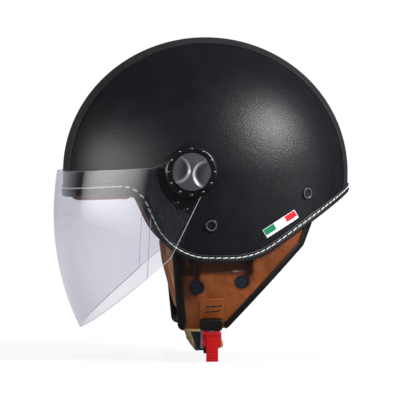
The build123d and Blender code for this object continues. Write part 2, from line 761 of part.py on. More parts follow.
def visor_arc(nose, crease, half_span, z):
    """Points of a level arc from the left crease round the nose to the right crease."""
    sagitta = crease - nose
    radius = (half_span**2 + sagitta**2) / (2 * sagitta)
    middle = nose + radius
    spread = atan2(half_span, middle - crease)
    points = []
    for k in range(VISOR_SEGMENTS + 1):
        turn = spread * (2 * k / VISOR_SEGMENTS - 1)
        points.append((middle - radius * cos(turn), radius * sin(turn), z))
    return points


def visor_outline():
    """Side view of the visor: wing round the pivot, straight edges, tip and heel."""
    pivot = Vector(PIVOT_X, PIVOT_Z)
    top_touch = tangent_point(Vector(*CREASE_TOP), pivot, 1)
    heel_touch = tangent_point(Vector(*VISOR_HEEL), pivot, -1)
    back = pivot + Vector(WING_RADIUS, 0).rotate(Axis.Z, RECESS_TILT)
    above = extended(CREASE_TOP, VISOR_TOP_FRONT, CUT_OVERRUN)
    below = (above[0], VISOR_TIP[1])
    tip = VISOR_TIP
    face = make_face([
        Polyline(top_touch, CREASE_TOP, above, below, tip, VISOR_HEEL, heel_touch),
        ThreePointArc(heel_touch, back, top_touch),
    ])
    face = Sketch() + face
    corner = face.vertices().sort_by_distance(Vector(*VISOR_HEEL))[0]
    return fillet(corner, VISOR_HEEL_RADIUS)


def tangent_point(start, centre, side):
    """Where a line from start touches the wing's round end."""
    run = centre - start
    lift = degrees(asin(WING_RADIUS / run.length))
    reach = sqrt(run.length**2 - WING_RADIUS**2)
    return start + run.normalized().rotate(Axis.Z, side * lift) * reach


def make_visor():
    top = PIVOT_Z + WING_RADIUS + VISOR_WALL
    foot = VISOR_TIP[1] - VISOR_WALL
    wing_end = PIVOT_X + WING_RADIUS + VISOR_WALL
    rings = []
    for i in range(VISOR_LEVELS):
        z = top + (foot - top) * i / (VISOR_LEVELS - 1)
        nose, crease = visor_section(z)
        outer = visor_arc(nose, crease, WING_OUTER, z)
        inner = visor_arc(nose + VISOR_WALL, crease + VISOR_WALL / 2, WING_INNER, z)
        ring = [(wing_end, -WING_OUTER, z)] + outer + [(wing_end, WING_OUTER, z)]
        ring += [(wing_end, WING_INNER, z)] + inner[::-1] + [(wing_end, -WING_INNER, z)]
        rings.append(ring)
    sheet = Part() + skin(rings)
    sheet &= through(visor_outline())
    bore = rod((PIVOT_X, PIVOT_Z), STACK_START, SHELL_HALF_WIDTH + CUT_OVERRUN, BOSS_RADIUS + SHAFT_PLAY)
    for place in ARM_RIVET_PLACES:
        radius = ARM_RIVET_RADIUS + PIN_SEAT
        bore += post(place, STACK_START, SHELL_HALF_WIDTH + CUT_OVERRUN, radius, RIVET_SIDES)
    return sheet - bore - left_of(bore)


# Side pivots, built on the right side


def make_pivot_base():
    """Spacer that fills the gap between the curved leather and the visor, with the visor's boss."""
    base = post(PIVOT, STACK_START, BASE_TOP, BASE_RADIUS, WIDE_SIDES) - form(-LAYER_GAP)
    base += rod(PIVOT, BASE_TOP, BOSS_TOP, BOSS_RADIUS)
    radius = facet_reach(SCREW_RADIUS + SIDE_PLAY, ROUND_SIDES)
    return base - post(PIVOT, STACK_START, BOSS_TOP, radius, ROUND_SIDES)


def make_washer():
    washer = Part() + post(PIVOT, BASE_TOP, WASHER_TOP, WASHER_RADIUS, WIDE_SIDES)
    radius = facet_reach(BOSS_RADIUS + PIN_SEAT, WIDE_SIDES)
    return washer - post(PIVOT, BASE_TOP, WASHER_TOP, radius, WIDE_SIDES)


def make_arm_plate():
    """Dark plate riveted on the outside of the visor's wing."""
    heel_touch = tangent_point(Vector(*VISOR_HEEL), Vector(*PIVOT), -1)
    slant = (heel_touch - Vector(*VISOR_HEEL)).normalized()
    inwards = slant.rotate(Axis.Z, 90) * ARM_PLATE_INSET
    edge_low = Vector(*ARM_PLATE_BACK) + inwards
    edge_top = heel_touch + inwards
    wedge = make_face([
        Polyline(edge_top, Vector(*PIVOT), Vector(*ARM_PLATE_FRONT)),
        ThreePointArc(ARM_PLATE_FRONT, ARM_PLATE_MIDDLE, edge_low),
        Line(edge_low, edge_top),
    ])
    face = Sketch() + wedge + Pos(*PIVOT) * RegularPolygon(WING_RADIUS - ARM_PLATE_INSET, WIDE_SIDES)
    wing = Plane(origin=(0, WING_OUTER, 0), x_dir=(1, 0, 0), z_dir=(0, -1, 0))
    plate = extrude(wing * face, amount=-ARM_PLATE)
    radius = facet_reach(BOSS_RADIUS + SIDE_PLAY, ROUND_SIDES)
    plate -= post(PIVOT, WING_INNER, BOSS_TOP, radius, ROUND_SIDES)
    for place in ARM_RIVET_PLACES:
        plate -= post(place, WING_INNER, BOSS_TOP, ARM_RIVET_RADIUS + PIN_SEAT, RIVET_SIDES)
    return plate


def make_arm_rivets():
    rivets = Part()
    shank = ARM_RIVET_RADIUS
    for place in ARM_RIVET_PLACES:
        profile = [
            (shank, WING_INNER), (shank, ARM_TOP),
            (2 * shank, ARM_TOP), (shank, ARM_TOP + ARM_RIVET_HEAD),
        ]
        rivets += spool(side_plane(place), profile, RIVET_SIDES)
    return rivets


def make_bezel():
    profile = [
        (BEZEL_RADIUS, BOSS_TOP), (BEZEL_RADIUS, BEZEL_TOP - BEZEL_BEVEL),
        (BEZEL_RADIUS - BEZEL_BEVEL, BEZEL_TOP),
    ]
    ring = Part() + spool(side_plane(PIVOT), profile, WIDE_SIDES)
    recess = facet_reach(KNOB_RADIUS + SIDE_PLAY, WIDE_SIDES)
    ring -= post(PIVOT, BOSS_TOP + BEZEL_FLOOR, BEZEL_TOP + BEZEL_HEIGHT, recess, WIDE_SIDES)
    return ring - rod(PIVOT, BOSS_TOP, BEZEL_TOP, SCREW_RADIUS + SHAFT_PLAY)


def stud_places():
    places = []
    for k in range(STUD_COUNT):
        turn = 2 * pi * k / STUD_COUNT
        places.append((PIVOT_X + STUD_PITCH_RADIUS * sin(turn), PIVOT_Z + STUD_PITCH_RADIUS * cos(turn)))
    return places


def make_bezel_studs():
    """Ring of facetted studs standing on the bezel."""
    studs = Part()
    for place in stud_places():
        profile = [(STUD_RADIUS, BEZEL_TOP), (STUD_RADIUS / 2, BEZEL_TOP + STUD_HEIGHT)]
        studs += spool(side_plane(place), profile, STUD_SIDES)
    return studs


def make_knob():
    """Round knob with two crescent finger hollows."""
    knob = Part() + post(PIVOT, KNOB_UNDER, KNOB_TOP, KNOB_RADIUS, WIDE_SIDES)
    tilt = radians(RECESS_TILT)
    for side in (1, -1):
        x = PIVOT_X + side * RECESS_OFFSET * cos(tilt)
        z = PIVOT_Z - side * RECESS_OFFSET * sin(tilt)
        profile = [(RECESS_FLOOR_RADIUS, KNOB_TOP - RECESS_DEPTH), (RECESS_RADIUS, KNOB_TOP)]
        knob -= spool(side_plane((x, z)), profile, WIDE_SIDES)
    return knob


def make_knob_screw():
    """Threaded stem of the knob, met by the nut inside the shell."""
    return rod(PIVOT, SCREW_TIP, KNOB_UNDER, SCREW_RADIUS)


def make_pivot_nut():
    profile = [
        (NUT_RADIUS, NUT_INNER), (NUT_RADIUS, NUT_INNER + NUT_FLANGE),
        (NUT_FLANGE_RADIUS, NUT_INNER + NUT_FLANGE), (NUT_FLANGE_RADIUS, SHELL_HALF_WIDTH),
    ]
    nut = form(SHELL_INNER + LAYER_GAP) & spool(side_plane(PIVOT), profile, ROUND_SIDES)
    bore = facet_reach(SCREW_RADIUS + SHAFT_PLAY, ROUND_SIDES)
    return nut - post(PIVOT, STACK_START, SHELL_HALF_WIDTH, bore, ROUND_SIDES)


# Buckle

def buckle_prism(face, u_low, u_high):
    """A face drawn in v and w, carried across the buckle from one u to another."""
    plane = Plane(origin=BUCKLE_ORIGIN + ACROSS * u_low, x_dir=UP_STRAP, z_dir=ACROSS)
    return extrude(plane * face, amount=u_high - u_low)


def buckle_box(low, high):
    """A box between two corners in u, v and w."""
    return BUCKLE_PLANE * tool_box(low, high)


def v_w(points):
    """Outline in v and w."""
    return make_face(Polyline(*points, close=True))


def pin_circle(v, w, radius):
    return Pos(v, w) * Circle(radius)


def pin_polygon(v, w, radius):
    return Pos(v, w) * RegularPolygon(radius, ROUND_SIDES)


def make_buckle_frame():
    """Steel channel that holds the lever pin and guides the tongue."""
    half = FRAME_HALF_WIDTH
    cheek = v_w([
        (FRAME_FOOT, FRAME_BACK), (FRAME_FOOT, 0), (FRAME_FOOT + CHEEK_TOP, CHEEK_TOP),
        (COVER_FOOT + CHEEK_TOP / 2, CHEEK_TOP), (FRAME_TOP, CHEEK_TOP / 2), (FRAME_TOP, FRAME_BACK),
    ])
    cheek -= pin_circle(LEVER_PIN_V, LEVER_PIN_W, LEVER_PIN_RADIUS + PIN_SEAT)
    frame = buckle_prism(cheek, -half, -half + FRAME_WALL) + buckle_prism(cheek, half - FRAME_WALL, half)
    frame += buckle_box((-half, FRAME_FOOT, FRAME_BACK), (half, FRAME_TOP, FRAME_BACK + FRAME_PLATE))
    return frame - strap_rivet_body(PIN_SEAT)


def strap_rivet_body(play):
    """Shank of the rivet that holds the strap's end on the frame."""
    start, end = STRAP_SIDE - CUT_OVERRUN, STRAP_SIDE + CUT_OVERRUN
    return left_of(post((STRAP_X, STRAP_RIVET_Z), start, end, STRAP_RIVET_RADIUS + play, RIVET_SIDES))


def rivet_spot(level):
    """Where the strap rivet's axis meets a level over the buckle's plane, in u and v."""
    start = Vector(STRAP_X, -STRAP_SIDE, STRAP_RIVET_Z) - BUCKLE_ORIGIN
    reach = (level - start.dot(OUTWARD)) / -OUTWARD.Y
    spot = start + Vector(0, -1, 0) * reach
    return spot.dot(ACROSS), spot.dot(UP_STRAP), reach


def make_strap_rivet():
    """Rivet through the strap's end and the frame's back plate."""
    level = FRAME_BACK + FRAME_PLATE + LAYER_GAP
    u, v, reach = rivet_spot(level)
    under = STRAP_SIDE - WEBBING / 2 - LAYER_GAP
    shank = STRAP_RIVET_RADIUS
    head = STRAP_RIVET_HEAD_RADIUS
    profile = [
        (head, under - STRAP_RIVET_HEAD), (head, under), (shank, under),
        (shank, STRAP_SIDE + reach + STRAP_RIVET_HEAD / 2),
    ]
    rivet = Part() + left_of(spool(side_plane((STRAP_X, STRAP_RIVET_Z)), profile, RIVET_SIDES))
    plane = Plane(origin=BUCKLE_PLANE.from_local_coords(Vector(u, v, 0)), x_dir=ACROSS, z_dir=OUTWARD)
    return rivet + spool(plane, [(head, level), (head, level + STRAP_RIVET_HEAD)], RIVET_SIDES)


def make_buckle_cover():
    """Dark cap over the upper half of the buckle."""
    inner = FRAME_HALF_WIDTH + LAYER_GAP
    outer = inner + COVER_WALL
    face = plate_face(
        [(-outer, COVER_FOOT), (outer, COVER_FOOT), (outer, COVER_TOP), (-outer, COVER_TOP)],
        [0, 0, COVER_CORNER, COVER_CORNER],
    )
    block = extrude(BUCKLE_PLANE * Pos(0, 0, FRAME_BACK) * face, amount=COVER_FACE - FRAME_BACK)
    hollow = buckle_box(
        (-inner, COVER_FOOT - CUT_OVERRUN, FRAME_BACK - CUT_OVERRUN),
        (inner, FRAME_TOP + LAYER_GAP, COVER_FACE - COVER_FRONT_WALL),
    )
    return block - hollow


def make_lever():
    """Release lever: plate, hub round the pin, pawl and the lugs of the pull tab."""
    half = LEVER_HALF_WIDTH
    face = plate_face(
        [(-half, LEVER_FOOT), (half, LEVER_FOOT), (half, LEVER_TOP), (-half, LEVER_TOP)],
        [LEVER_CORNER, LEVER_CORNER, 0, 0],
    )
    lever = extrude(BUCKLE_PLANE * Pos(0, 0, LEVER_UNDER) * face, amount=LEVER_PLATE)
    hub_half = FRAME_HALF_WIDTH - FRAME_WALL - SIDE_PLAY
    hub = Sketch() + pin_polygon(LEVER_PIN_V, LEVER_PIN_W, LEVER_HUB_RADIUS) + v_w([
        (LEVER_PIN_V, LEVER_PIN_W), (LEVER_PIN_V - LEVER_HUB_RADIUS, LEVER_PIN_W),
        (LEVER_PIN_V - LEVER_HUB_RADIUS, LEVER_UNDER + LEVER_PLATE / 2),
        (LEVER_TOP, LEVER_UNDER + LEVER_PLATE / 2),
        (LEVER_PIN_V, LEVER_UNDER),
    ])
    lever += buckle_prism(hub, -hub_half, -SPRING_HALF_WIDTH - SIDE_PLAY)
    lever += buckle_prism(hub, SPRING_HALF_WIDTH + SIDE_PLAY, hub_half)
    pawl_back = LEVER_PIN_V - LEVER_HUB_RADIUS
    pawl_tip = TONGUE / 2 + SIDE_PLAY
    pawl = v_w([
        (pawl_back, LEVER_UNDER + LEVER_PLATE / 2), (pawl_back, LEVER_PIN_W - LEVER_HUB_RADIUS),
        (pawl_back - PAWL_LENGTH / 2, pawl_tip), (pawl_back - PAWL_LENGTH, pawl_tip),
        (pawl_back - PAWL_LENGTH, LEVER_UNDER + LEVER_PLATE / 2),
    ])
    lever += buckle_prism(pawl, -PAWL_HALF_WIDTH, PAWL_HALF_WIDTH)
    lug = Sketch() + pin_polygon(TAB_AXIS_V, TAB_AXIS_W, TAB_EYE_RADIUS) + v_w([
        (TAB_AXIS_V + TAB_EYE_RADIUS, TAB_AXIS_W), (TAB_AXIS_V - TAB_EYE_RADIUS, TAB_AXIS_W),
        (TAB_AXIS_V - TAB_EYE_RADIUS, LEVER_UNDER + LEVER_PLATE / 2),
        (TAB_AXIS_V + TAB_EYE_RADIUS, LEVER_UNDER + LEVER_PLATE / 2),
    ])
    lug_start = TAB_WIDTH / 2 + SIDE_PLAY
    lever += buckle_prism(lug, lug_start, lug_start + TAB_LUG)
    lever += buckle_prism(lug, -lug_start - TAB_LUG, -lug_start)
    lever += buckle_prism(pin_circle(TAB_AXIS_V, TAB_AXIS_W, TAB_BAR_RADIUS), -lug_start, lug_start)
    bore = pin_circle(LEVER_PIN_V, LEVER_PIN_W, LEVER_PIN_RADIUS + SHAFT_PLAY)
    return lever - buckle_prism(bore, -half, half)


def make_lever_pin():
    round_face = pin_circle(LEVER_PIN_V, LEVER_PIN_W, LEVER_PIN_RADIUS)
    return buckle_prism(round_face, -FRAME_HALF_WIDTH, FRAME_HALF_WIDTH)


def make_lever_spring():
    """Torsion spring round the pin, drawn as its sleeve of turns."""
    inner = LEVER_PIN_RADIUS + PIN_SEAT
    ring = pin_polygon(LEVER_PIN_V, LEVER_PIN_W, inner + SPRING_WIRE)
    ring -= pin_polygon(LEVER_PIN_V, LEVER_PIN_W, facet_reach(inner, ROUND_SIDES))
    return buckle_prism(ring, -SPRING_HALF_WIDTH, SPRING_HALF_WIDTH)


def make_pull_tab():
    """Ribbon that hangs on the lever's bar."""
    strip = Sketch() + pin_polygon(TAB_AXIS_V, TAB_AXIS_W, TAB_EYE_RADIUS) + v_w([
        (TAB_FOOT, TAB_AXIS_W - TAB_EYE_RADIUS), (TAB_AXIS_V, TAB_AXIS_W - TAB_EYE_RADIUS),
        (TAB_AXIS_V, TAB_AXIS_W - TAB_EYE_RADIUS + TAB), (TAB_FOOT, TAB_AXIS_W - TAB_EYE_RADIUS + TAB),
    ])
    strip -= pin_circle(TAB_AXIS_V, TAB_AXIS_W, TAB_BAR_RADIUS + SHAFT_PLAY)
    return buckle_prism(strip, -TAB_WIDTH / 2, TAB_WIDTH / 2)


def make_tongue():
    """Toothed strip, curved about the far end of the chin strap, with a tail under the webbing."""
    section_plane = Plane(origin=BUCKLE_ORIGIN, x_dir=ACROSS, z_dir=UP_STRAP)
    top_turn = degrees(TONGUE_TOP / TONGUE_ARC_RADIUS)
    foot_turn = degrees(TONGUE_FOOT / TONGUE_ARC_RADIUS)
    section = section_plane * Rectangle(TONGUE_WIDTH, TONGUE)
    strip = revolve(section, STRAP_HINGE, top_turn - foot_turn)
    strip = strip.rotate(STRAP_HINGE, -top_turn)
    count = floor((TOOTH_TOP - TOOTH_FOOT) / TOOTH_PITCH)
    face = TONGUE / 2
    notch_face = v_w([
        (0, face + TOOTH_DEPTH), (0, face - TOOTH_DEPTH), (TOOTH_PITCH - TOOTH_DEPTH, face + TOOTH_DEPTH),
    ])
    notch = buckle_prism(notch_face, -TONGUE_WIDTH, TONGUE_WIDTH)
    for k in range(count):
        place = TOOTH_TOP - TOOTH_PITCH * (k + 1)
        strip -= notch.rotate(STRAP_HINGE, -degrees(place / TONGUE_ARC_RADIUS))
    tail_top = BUCKLE_ORIGIN + UP_STRAP * (TONGUE_FOOT + TAIL)
    tail_side = tail_top.Y - (TAIL_LEVEL - tail_top.Z) * sin(2 * BUCKLE_DROP)
    corners = [(tail_top.Y, tail_top.Z), (tail_side, TAIL_LEVEL), (TAIL_END, TAIL_LEVEL)]
    path = FilletPolyline(*corners, radius=TAIL_BEND)
    tail = thick_line(path, TAIL)
    tail = Pos(TONGUE_X, 0, 0) * extrude(Plane.YZ * tail, amount=TONGUE_WIDTH / 2, both=True)
    return strip + tail - tail_rivet_shank(PIN_SEAT)


def thick_line(path, thickness):
    """A flat strip drawn round an open line."""
    start = path @ 0
    side = (path % 0).rotate(Axis.Z, 90)
    section = Line(start - side * (thickness / 2), start + side * (thickness / 2))
    return trace_strip(path, section)


def trace_strip(path, section):
    upper = offset_points(path, section.length / 2)
    lower = offset_points(path, -section.length / 2)
    return make_face(Polyline(*(upper + lower[::-1]), close=True))


def offset_points(path, distance):
    """Points beside each joint of a line of runs and arcs, more of them on the arcs."""
    points = []
    for edge in path.edges():
        steps = 1 if edge.geom_type == GeomType.LINE else CHIN_BEND_STEPS
        for i in range(steps + 1):
            share = i / steps
            side = (edge % share).rotate(Axis.Z, 90)
            points.append(edge @ share + side * distance)
    kept = [points[0]]
    for point in points[1:]:
        if (point - kept[-1]).length > LAYER_GAP:
            kept.append(point)
    return kept


def tail_rivet_shank(play):
    low, high = TAIL_LEVEL - CUT_OVERRUN, TAIL_LEVEL + CUT_OVERRUN
    radius = TAIL_RIVET_RADIUS + play
    plane = Plane(origin=(TAIL_RIVET_X, TAIL_RIVET_Y, 0))
    return spool(plane, [(radius, low), (radius, high)], RIVET_SIDES)


def make_tail_rivet():
    low = TAIL_LEVEL - TAIL / 2 - LAYER_GAP
    high = CHIN_BOTTOM + WEBBING / 2 + LAYER_GAP
    shank = TAIL_RIVET_RADIUS
    head = TAIL_RIVET_HEAD_RADIUS
    profile = [
        (head, low - TAIL_RIVET_HEAD), (head, low), (shank, low),
        (shank, high), (head, high), (head, high + TAIL_RIVET_HEAD),
    ]
    return spool(Plane(origin=(TAIL_RIVET_X, TAIL_RIVET_Y, 0)), profile, RIVET_SIDES)


# Chin strap

def chin_path():
    """Middle of the webbing seen from the front, from behind the buckle to the right-hand hinge."""
    return FilletPolyline(
        (-STRAP_SIDE, CHIN_TOP), (-CHIN_CORNER_Y, CHIN_BOTTOM),
        (CHIN_CORNER_Y, CHIN_BOTTOM), (HINGE_Y, HINGE_Z),
        radius=CHIN_BEND,
    )


def chin_stations(path):
    """Places along the path with the direction that points away from the chin."""
    stations = []
    for edge in path.edges():
        steps = 1 if edge.geom_type == GeomType.LINE else CHIN_BEND_STEPS
        first = 1 if stations else 0
        for i in range(first, steps + 1):
            share = i / steps
            away = (edge % share).rotate(Axis.Z, -90)
            stations.append((edge @ share, away))
    return stations


def strap_ring(spot, away, x, width, top, foot):
    """Rectangle across the webbing between two heights over its middle."""
    ring = []
    for side, height in ((-1, top), (1, top), (1, foot), (-1, foot)):
        point = spot - away * height
        ring.append((x + side * width / 2, point.X, point.Y))
    return ring


def make_chin_strap():
    stations = chin_stations(chin_path())
    spot, away = stations[-1]
    rings = []
    for place, direction in stations:
        share = min(1, max(0, (place.X - CHIN_CORNER_Y + 2 * CHIN_BEND) / (2 * CHIN_BEND)))
        x = CHIN_X + (STRAP_X - CHIN_X) * share
        rings.append(strap_ring(place, direction, x, STRAP_WIDTH, WEBBING / 2, -WEBBING / 2))
    webbing = Part() + skin(rings)
    knuckle = Plane(origin=(STRAP_X, HINGE_Y, HINGE_Z), x_dir=(0, 1, 0), z_dir=(1, 0, 0))
    webbing += knuckle * Cylinder(WEBBING / 2, STRAP_WIDTH)
    return webbing - tail_rivet_shank(PIN_SEAT)


def make_chin_pad():
    """Soft pad on the inside of the chin strap, with rounded long edges."""
    path = chin_path()
    top = LAYER_GAP + WEBBING / 2 + CHIN_PAD
    foot = LAYER_GAP + WEBBING / 2
    rings = []
    for place, away in chin_stations(path):
        spot = place
        if place.Y > CHIN_PAD_TOP:
            along = away.rotate(Axis.Z, 90)
            spot = place - along * ((place.Y - CHIN_PAD_TOP) / along.Y)
        ring = []
        half = CHIN_PAD_WIDTH / 2
        section = [
            (-half, foot), (half, foot), (half, top - CHIN_PAD_EDGE), (half - CHIN_PAD_EDGE, top),
            (-half + CHIN_PAD_EDGE, top), (-half, top - CHIN_PAD_EDGE),
        ]
        for across, height in section:
            point = spot - away * height
            ring.append((CHIN_X + across, point.X, point.Y))
        rings.append(ring)
    pad = Part() + skin(rings)
    radius = TAIL_RIVET_HEAD_RADIUS + LAYER_GAP
    top_of_head = CHIN_BOTTOM + foot + TAIL_RIVET_HEAD + LAYER_GAP
    plane = Plane(origin=(TAIL_RIVET_X, TAIL_RIVET_Y, 0))
    return pad - spool(plane, [(radius, CHIN_BOTTOM), (radius, top_of_head)], RIVET_SIDES)


# All pieces

def main():
    pieces = {"outer_shell": make_outer_shell()}
    band, left_panel, right_panel = make_leather()
    pieces["leather_centre_band"] = band
    pieces["leather_panel_left"] = left_panel
    pieces["leather_panel_right"] = right_panel
    pieces["rim_trim"] = make_trim()
    pieces["impact_foam"] = make_foam()
    pieces["comfort_liner"] = make_comfort_liner()
    pieces["brow_pad"] = make_brow_pad()
    pieces["neck_roll"] = make_neck_roll()
    pieces["flag_patch"] = make_patch()
    pieces["visor"] = make_visor()
    pairs = {
        "welt": make_welt(),
        "ear_flap": make_ear_flap(),
        "vent_mesh": make_vent_mesh(),
        "flap_binding": make_flap_binding(),
        "ear_pad": make_ear_pad(),
        "strap_keeper": make_keeper(),
        "front_strap_rivet": make_anchor_rivet(FRONT_ANCHOR),
        "rear_strap_rivet": make_anchor_rivet(REAR_ANCHOR),
        "pivot_base": make_pivot_base(),
        "friction_washer": make_washer(),
        "visor_arm_plate": make_arm_plate(),
        "visor_arm_rivets": make_arm_rivets(),
        "pivot_bezel": make_bezel(),
        "bezel_studs": make_bezel_studs(),
        "pivot_knob": make_knob(),
        "knob_screw": make_knob_screw(),
        "pivot_nut": make_pivot_nut(),
    }
    for name, shape in pairs.items():
        pieces[name + "_right"] = shape
        pieces[name + "_left"] = left_of(shape)
    pieces["side_strap_right"] = make_side_strap(HINGE_Z + WEBBING / 2 + SIDE_PLAY)
    pieces["side_strap_left"] = left_of(make_side_strap(STRAP_END)) - strap_rivet_body(PIN_SEAT)
    pieces["buckle_frame"] = make_buckle_frame()
    pieces["strap_end_rivet"] = make_strap_rivet()
    pieces["buckle_cover"] = make_buckle_cover()
    pieces["buckle_lever"] = make_lever()
    pieces["lever_pin"] = make_lever_pin()
    pieces["lever_spring"] = make_lever_spring()
    pieces["pull_tab"] = make_pull_tab()
    pieces["buckle_tongue"] = make_tongue()
    pieces["chin_strap"] = make_chin_strap()
    pieces["tongue_rivet"] = make_tail_rivet()
    pieces["chin_pad"] = make_chin_pad()
    for name, shape in pieces.items():
        export_step(shape, f"parts/{name}.step")
    print("pieces", len(pieces))


main()
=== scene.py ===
"""The look of an open half shell motorcycle helmet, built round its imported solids."""

from __future__ import annotations

import json
import logging
import math
from dataclasses import dataclass
from enum import Enum
from functools import lru_cache
from typing import Callable, Sequence

import bmesh
import bpy
import numpy as np
from mathutils import Matrix, Vector, noise

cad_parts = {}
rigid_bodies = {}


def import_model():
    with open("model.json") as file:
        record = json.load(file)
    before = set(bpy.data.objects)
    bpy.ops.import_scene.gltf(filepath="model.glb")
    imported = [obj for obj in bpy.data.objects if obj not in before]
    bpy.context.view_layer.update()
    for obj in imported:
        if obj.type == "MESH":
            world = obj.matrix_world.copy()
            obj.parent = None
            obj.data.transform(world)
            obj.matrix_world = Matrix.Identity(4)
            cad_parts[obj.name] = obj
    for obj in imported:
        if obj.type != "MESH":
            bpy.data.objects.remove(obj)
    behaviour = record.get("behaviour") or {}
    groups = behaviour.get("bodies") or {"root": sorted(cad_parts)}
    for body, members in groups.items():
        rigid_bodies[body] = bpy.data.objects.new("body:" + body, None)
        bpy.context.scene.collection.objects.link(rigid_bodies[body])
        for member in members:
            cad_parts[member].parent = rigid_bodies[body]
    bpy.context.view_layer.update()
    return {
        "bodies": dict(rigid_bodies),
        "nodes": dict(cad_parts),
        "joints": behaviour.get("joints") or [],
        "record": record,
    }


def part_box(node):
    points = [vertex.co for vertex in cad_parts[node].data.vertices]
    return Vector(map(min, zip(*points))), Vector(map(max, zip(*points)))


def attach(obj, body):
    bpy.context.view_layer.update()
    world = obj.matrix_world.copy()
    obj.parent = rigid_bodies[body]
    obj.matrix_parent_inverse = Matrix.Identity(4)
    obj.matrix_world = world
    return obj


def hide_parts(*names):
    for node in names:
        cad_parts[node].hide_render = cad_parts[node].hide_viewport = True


LOG = logging.getLogger("helmet")
MM = 0.001

Mesh = bmesh.types.BMesh
Socket = bpy.types.NodeSocket
Pair = tuple[float, float]
Triple = tuple[float, float, float]
Rgb = tuple[int, int, int]
Profile = tuple[Pair, ...]


class Side(Enum):
    """Side of the wearer's head, as the sign of Y."""

    LEFT = -1
    RIGHT = 1

    @property
    def word(self) -> str:
        """The side's name in lower case."""
        return self.name.lower()


# The helmet's form


def corner_arc(last: Vector, corner: Vector, following: Vector, radius: float, steps: int) -> list[Vector]:
    """Rounds one corner of a flat outline.

    Args:
        last: The point before the corner.
        corner: The corner.
        following: The point after the corner.
        radius: Radius of the arc, or zero for a sharp corner.
        steps: Number of runs the arc is drawn with.

    Returns:
        The points of the arc.
    """
    if radius <= 0:
        return [corner.copy()]
    before = (last - corner).normalized()
    after = (following - corner).normalized()
    half = before.angle(after) / 2
    middle = corner + (before + after).normalized() * (radius / math.sin(half))
    start = corner + before * (radius / math.tan(half)) - middle
    turn = math.pi - 2 * half
    if start.x * (corner - middle).y - start.y * (corner - middle).x < 0:
        turn = -turn
    points = []
    for step in range(steps + 1):
        points.append(middle + Matrix.Rotation(turn * step / steps, 2) @ start)
    return points


def rounded_outline(corners: Sequence[Pair], radii: Sequence[float], closed: bool,
                    steps: int = 10) -> list[Vector]:
    """Draws a flat outline whose corners are arcs.

    Args:
        corners: Corners of the outline.
        radii: One radius for each corner; those of an open outline's ends aren't used.
        closed: Whether the outline goes back to its start.
        steps: Number of runs in each arc.

    Returns:
        The outline's points.
    """
    spots = [Vector(corner) for corner in corners]
    line = []
    for k, spot in enumerate(spots):
        end = not closed and k in (0, len(spots) - 1)
        if end:
            line.append(spot)
        else:
            line += corner_arc(spots[k - 1], spot, spots[(k + 1) % len(spots)], radii[k], steps)
    return line


def resampled(line: Sequence[Vector], count: int) -> list[Vector]:
    """Spaces points evenly along an open line.

    Args:
        line: The line's points.
        count: Number of points wanted.

    Returns:
        Evenly spaced points, both ends among them.
    """
    data = np.array([tuple(point) for point in line])
    steps = np.linalg.norm(np.diff(data, axis=0), axis=1)
    reach = np.concatenate([[0.0], np.cumsum(steps)])
    places = np.linspace(0.0, reach[-1], count)
    columns = [np.interp(places, reach, data[:, k]) for k in range(data.shape[1])]
    return [Vector(row) for row in np.stack(columns, axis=1)]


def smooth_step(value: float) -> float:
    """Eases a value from 0 to 1."""
    share = min(1.0, max(0.0, value))
    return share * share * (3 - 2 * share)


def smooth_near_end(share: float) -> float:
    """Spaces columns closely at a wing's round end."""
    return share**2 * (0.35 + 0.65 * share) if share < 1 else 1.0


def directions(line: Sequence[Vector]) -> list[Vector]:
    """Direction of an open line at each of its points."""
    last = len(line) - 1
    return [(line[min(last, k + 1)] - line[max(0, k - 1)]).normalized() for k in range(last + 1)]


def hump(value: float, width: float) -> float:
    """A smooth hump of height one, at a distance from its middle."""
    return math.exp(-((value / width) ** 2))


def signed_power(value: float, power: float) -> float:
    """Raises a value's size to a power and keeps its sign."""
    return math.copysign(abs(value) ** power, value)


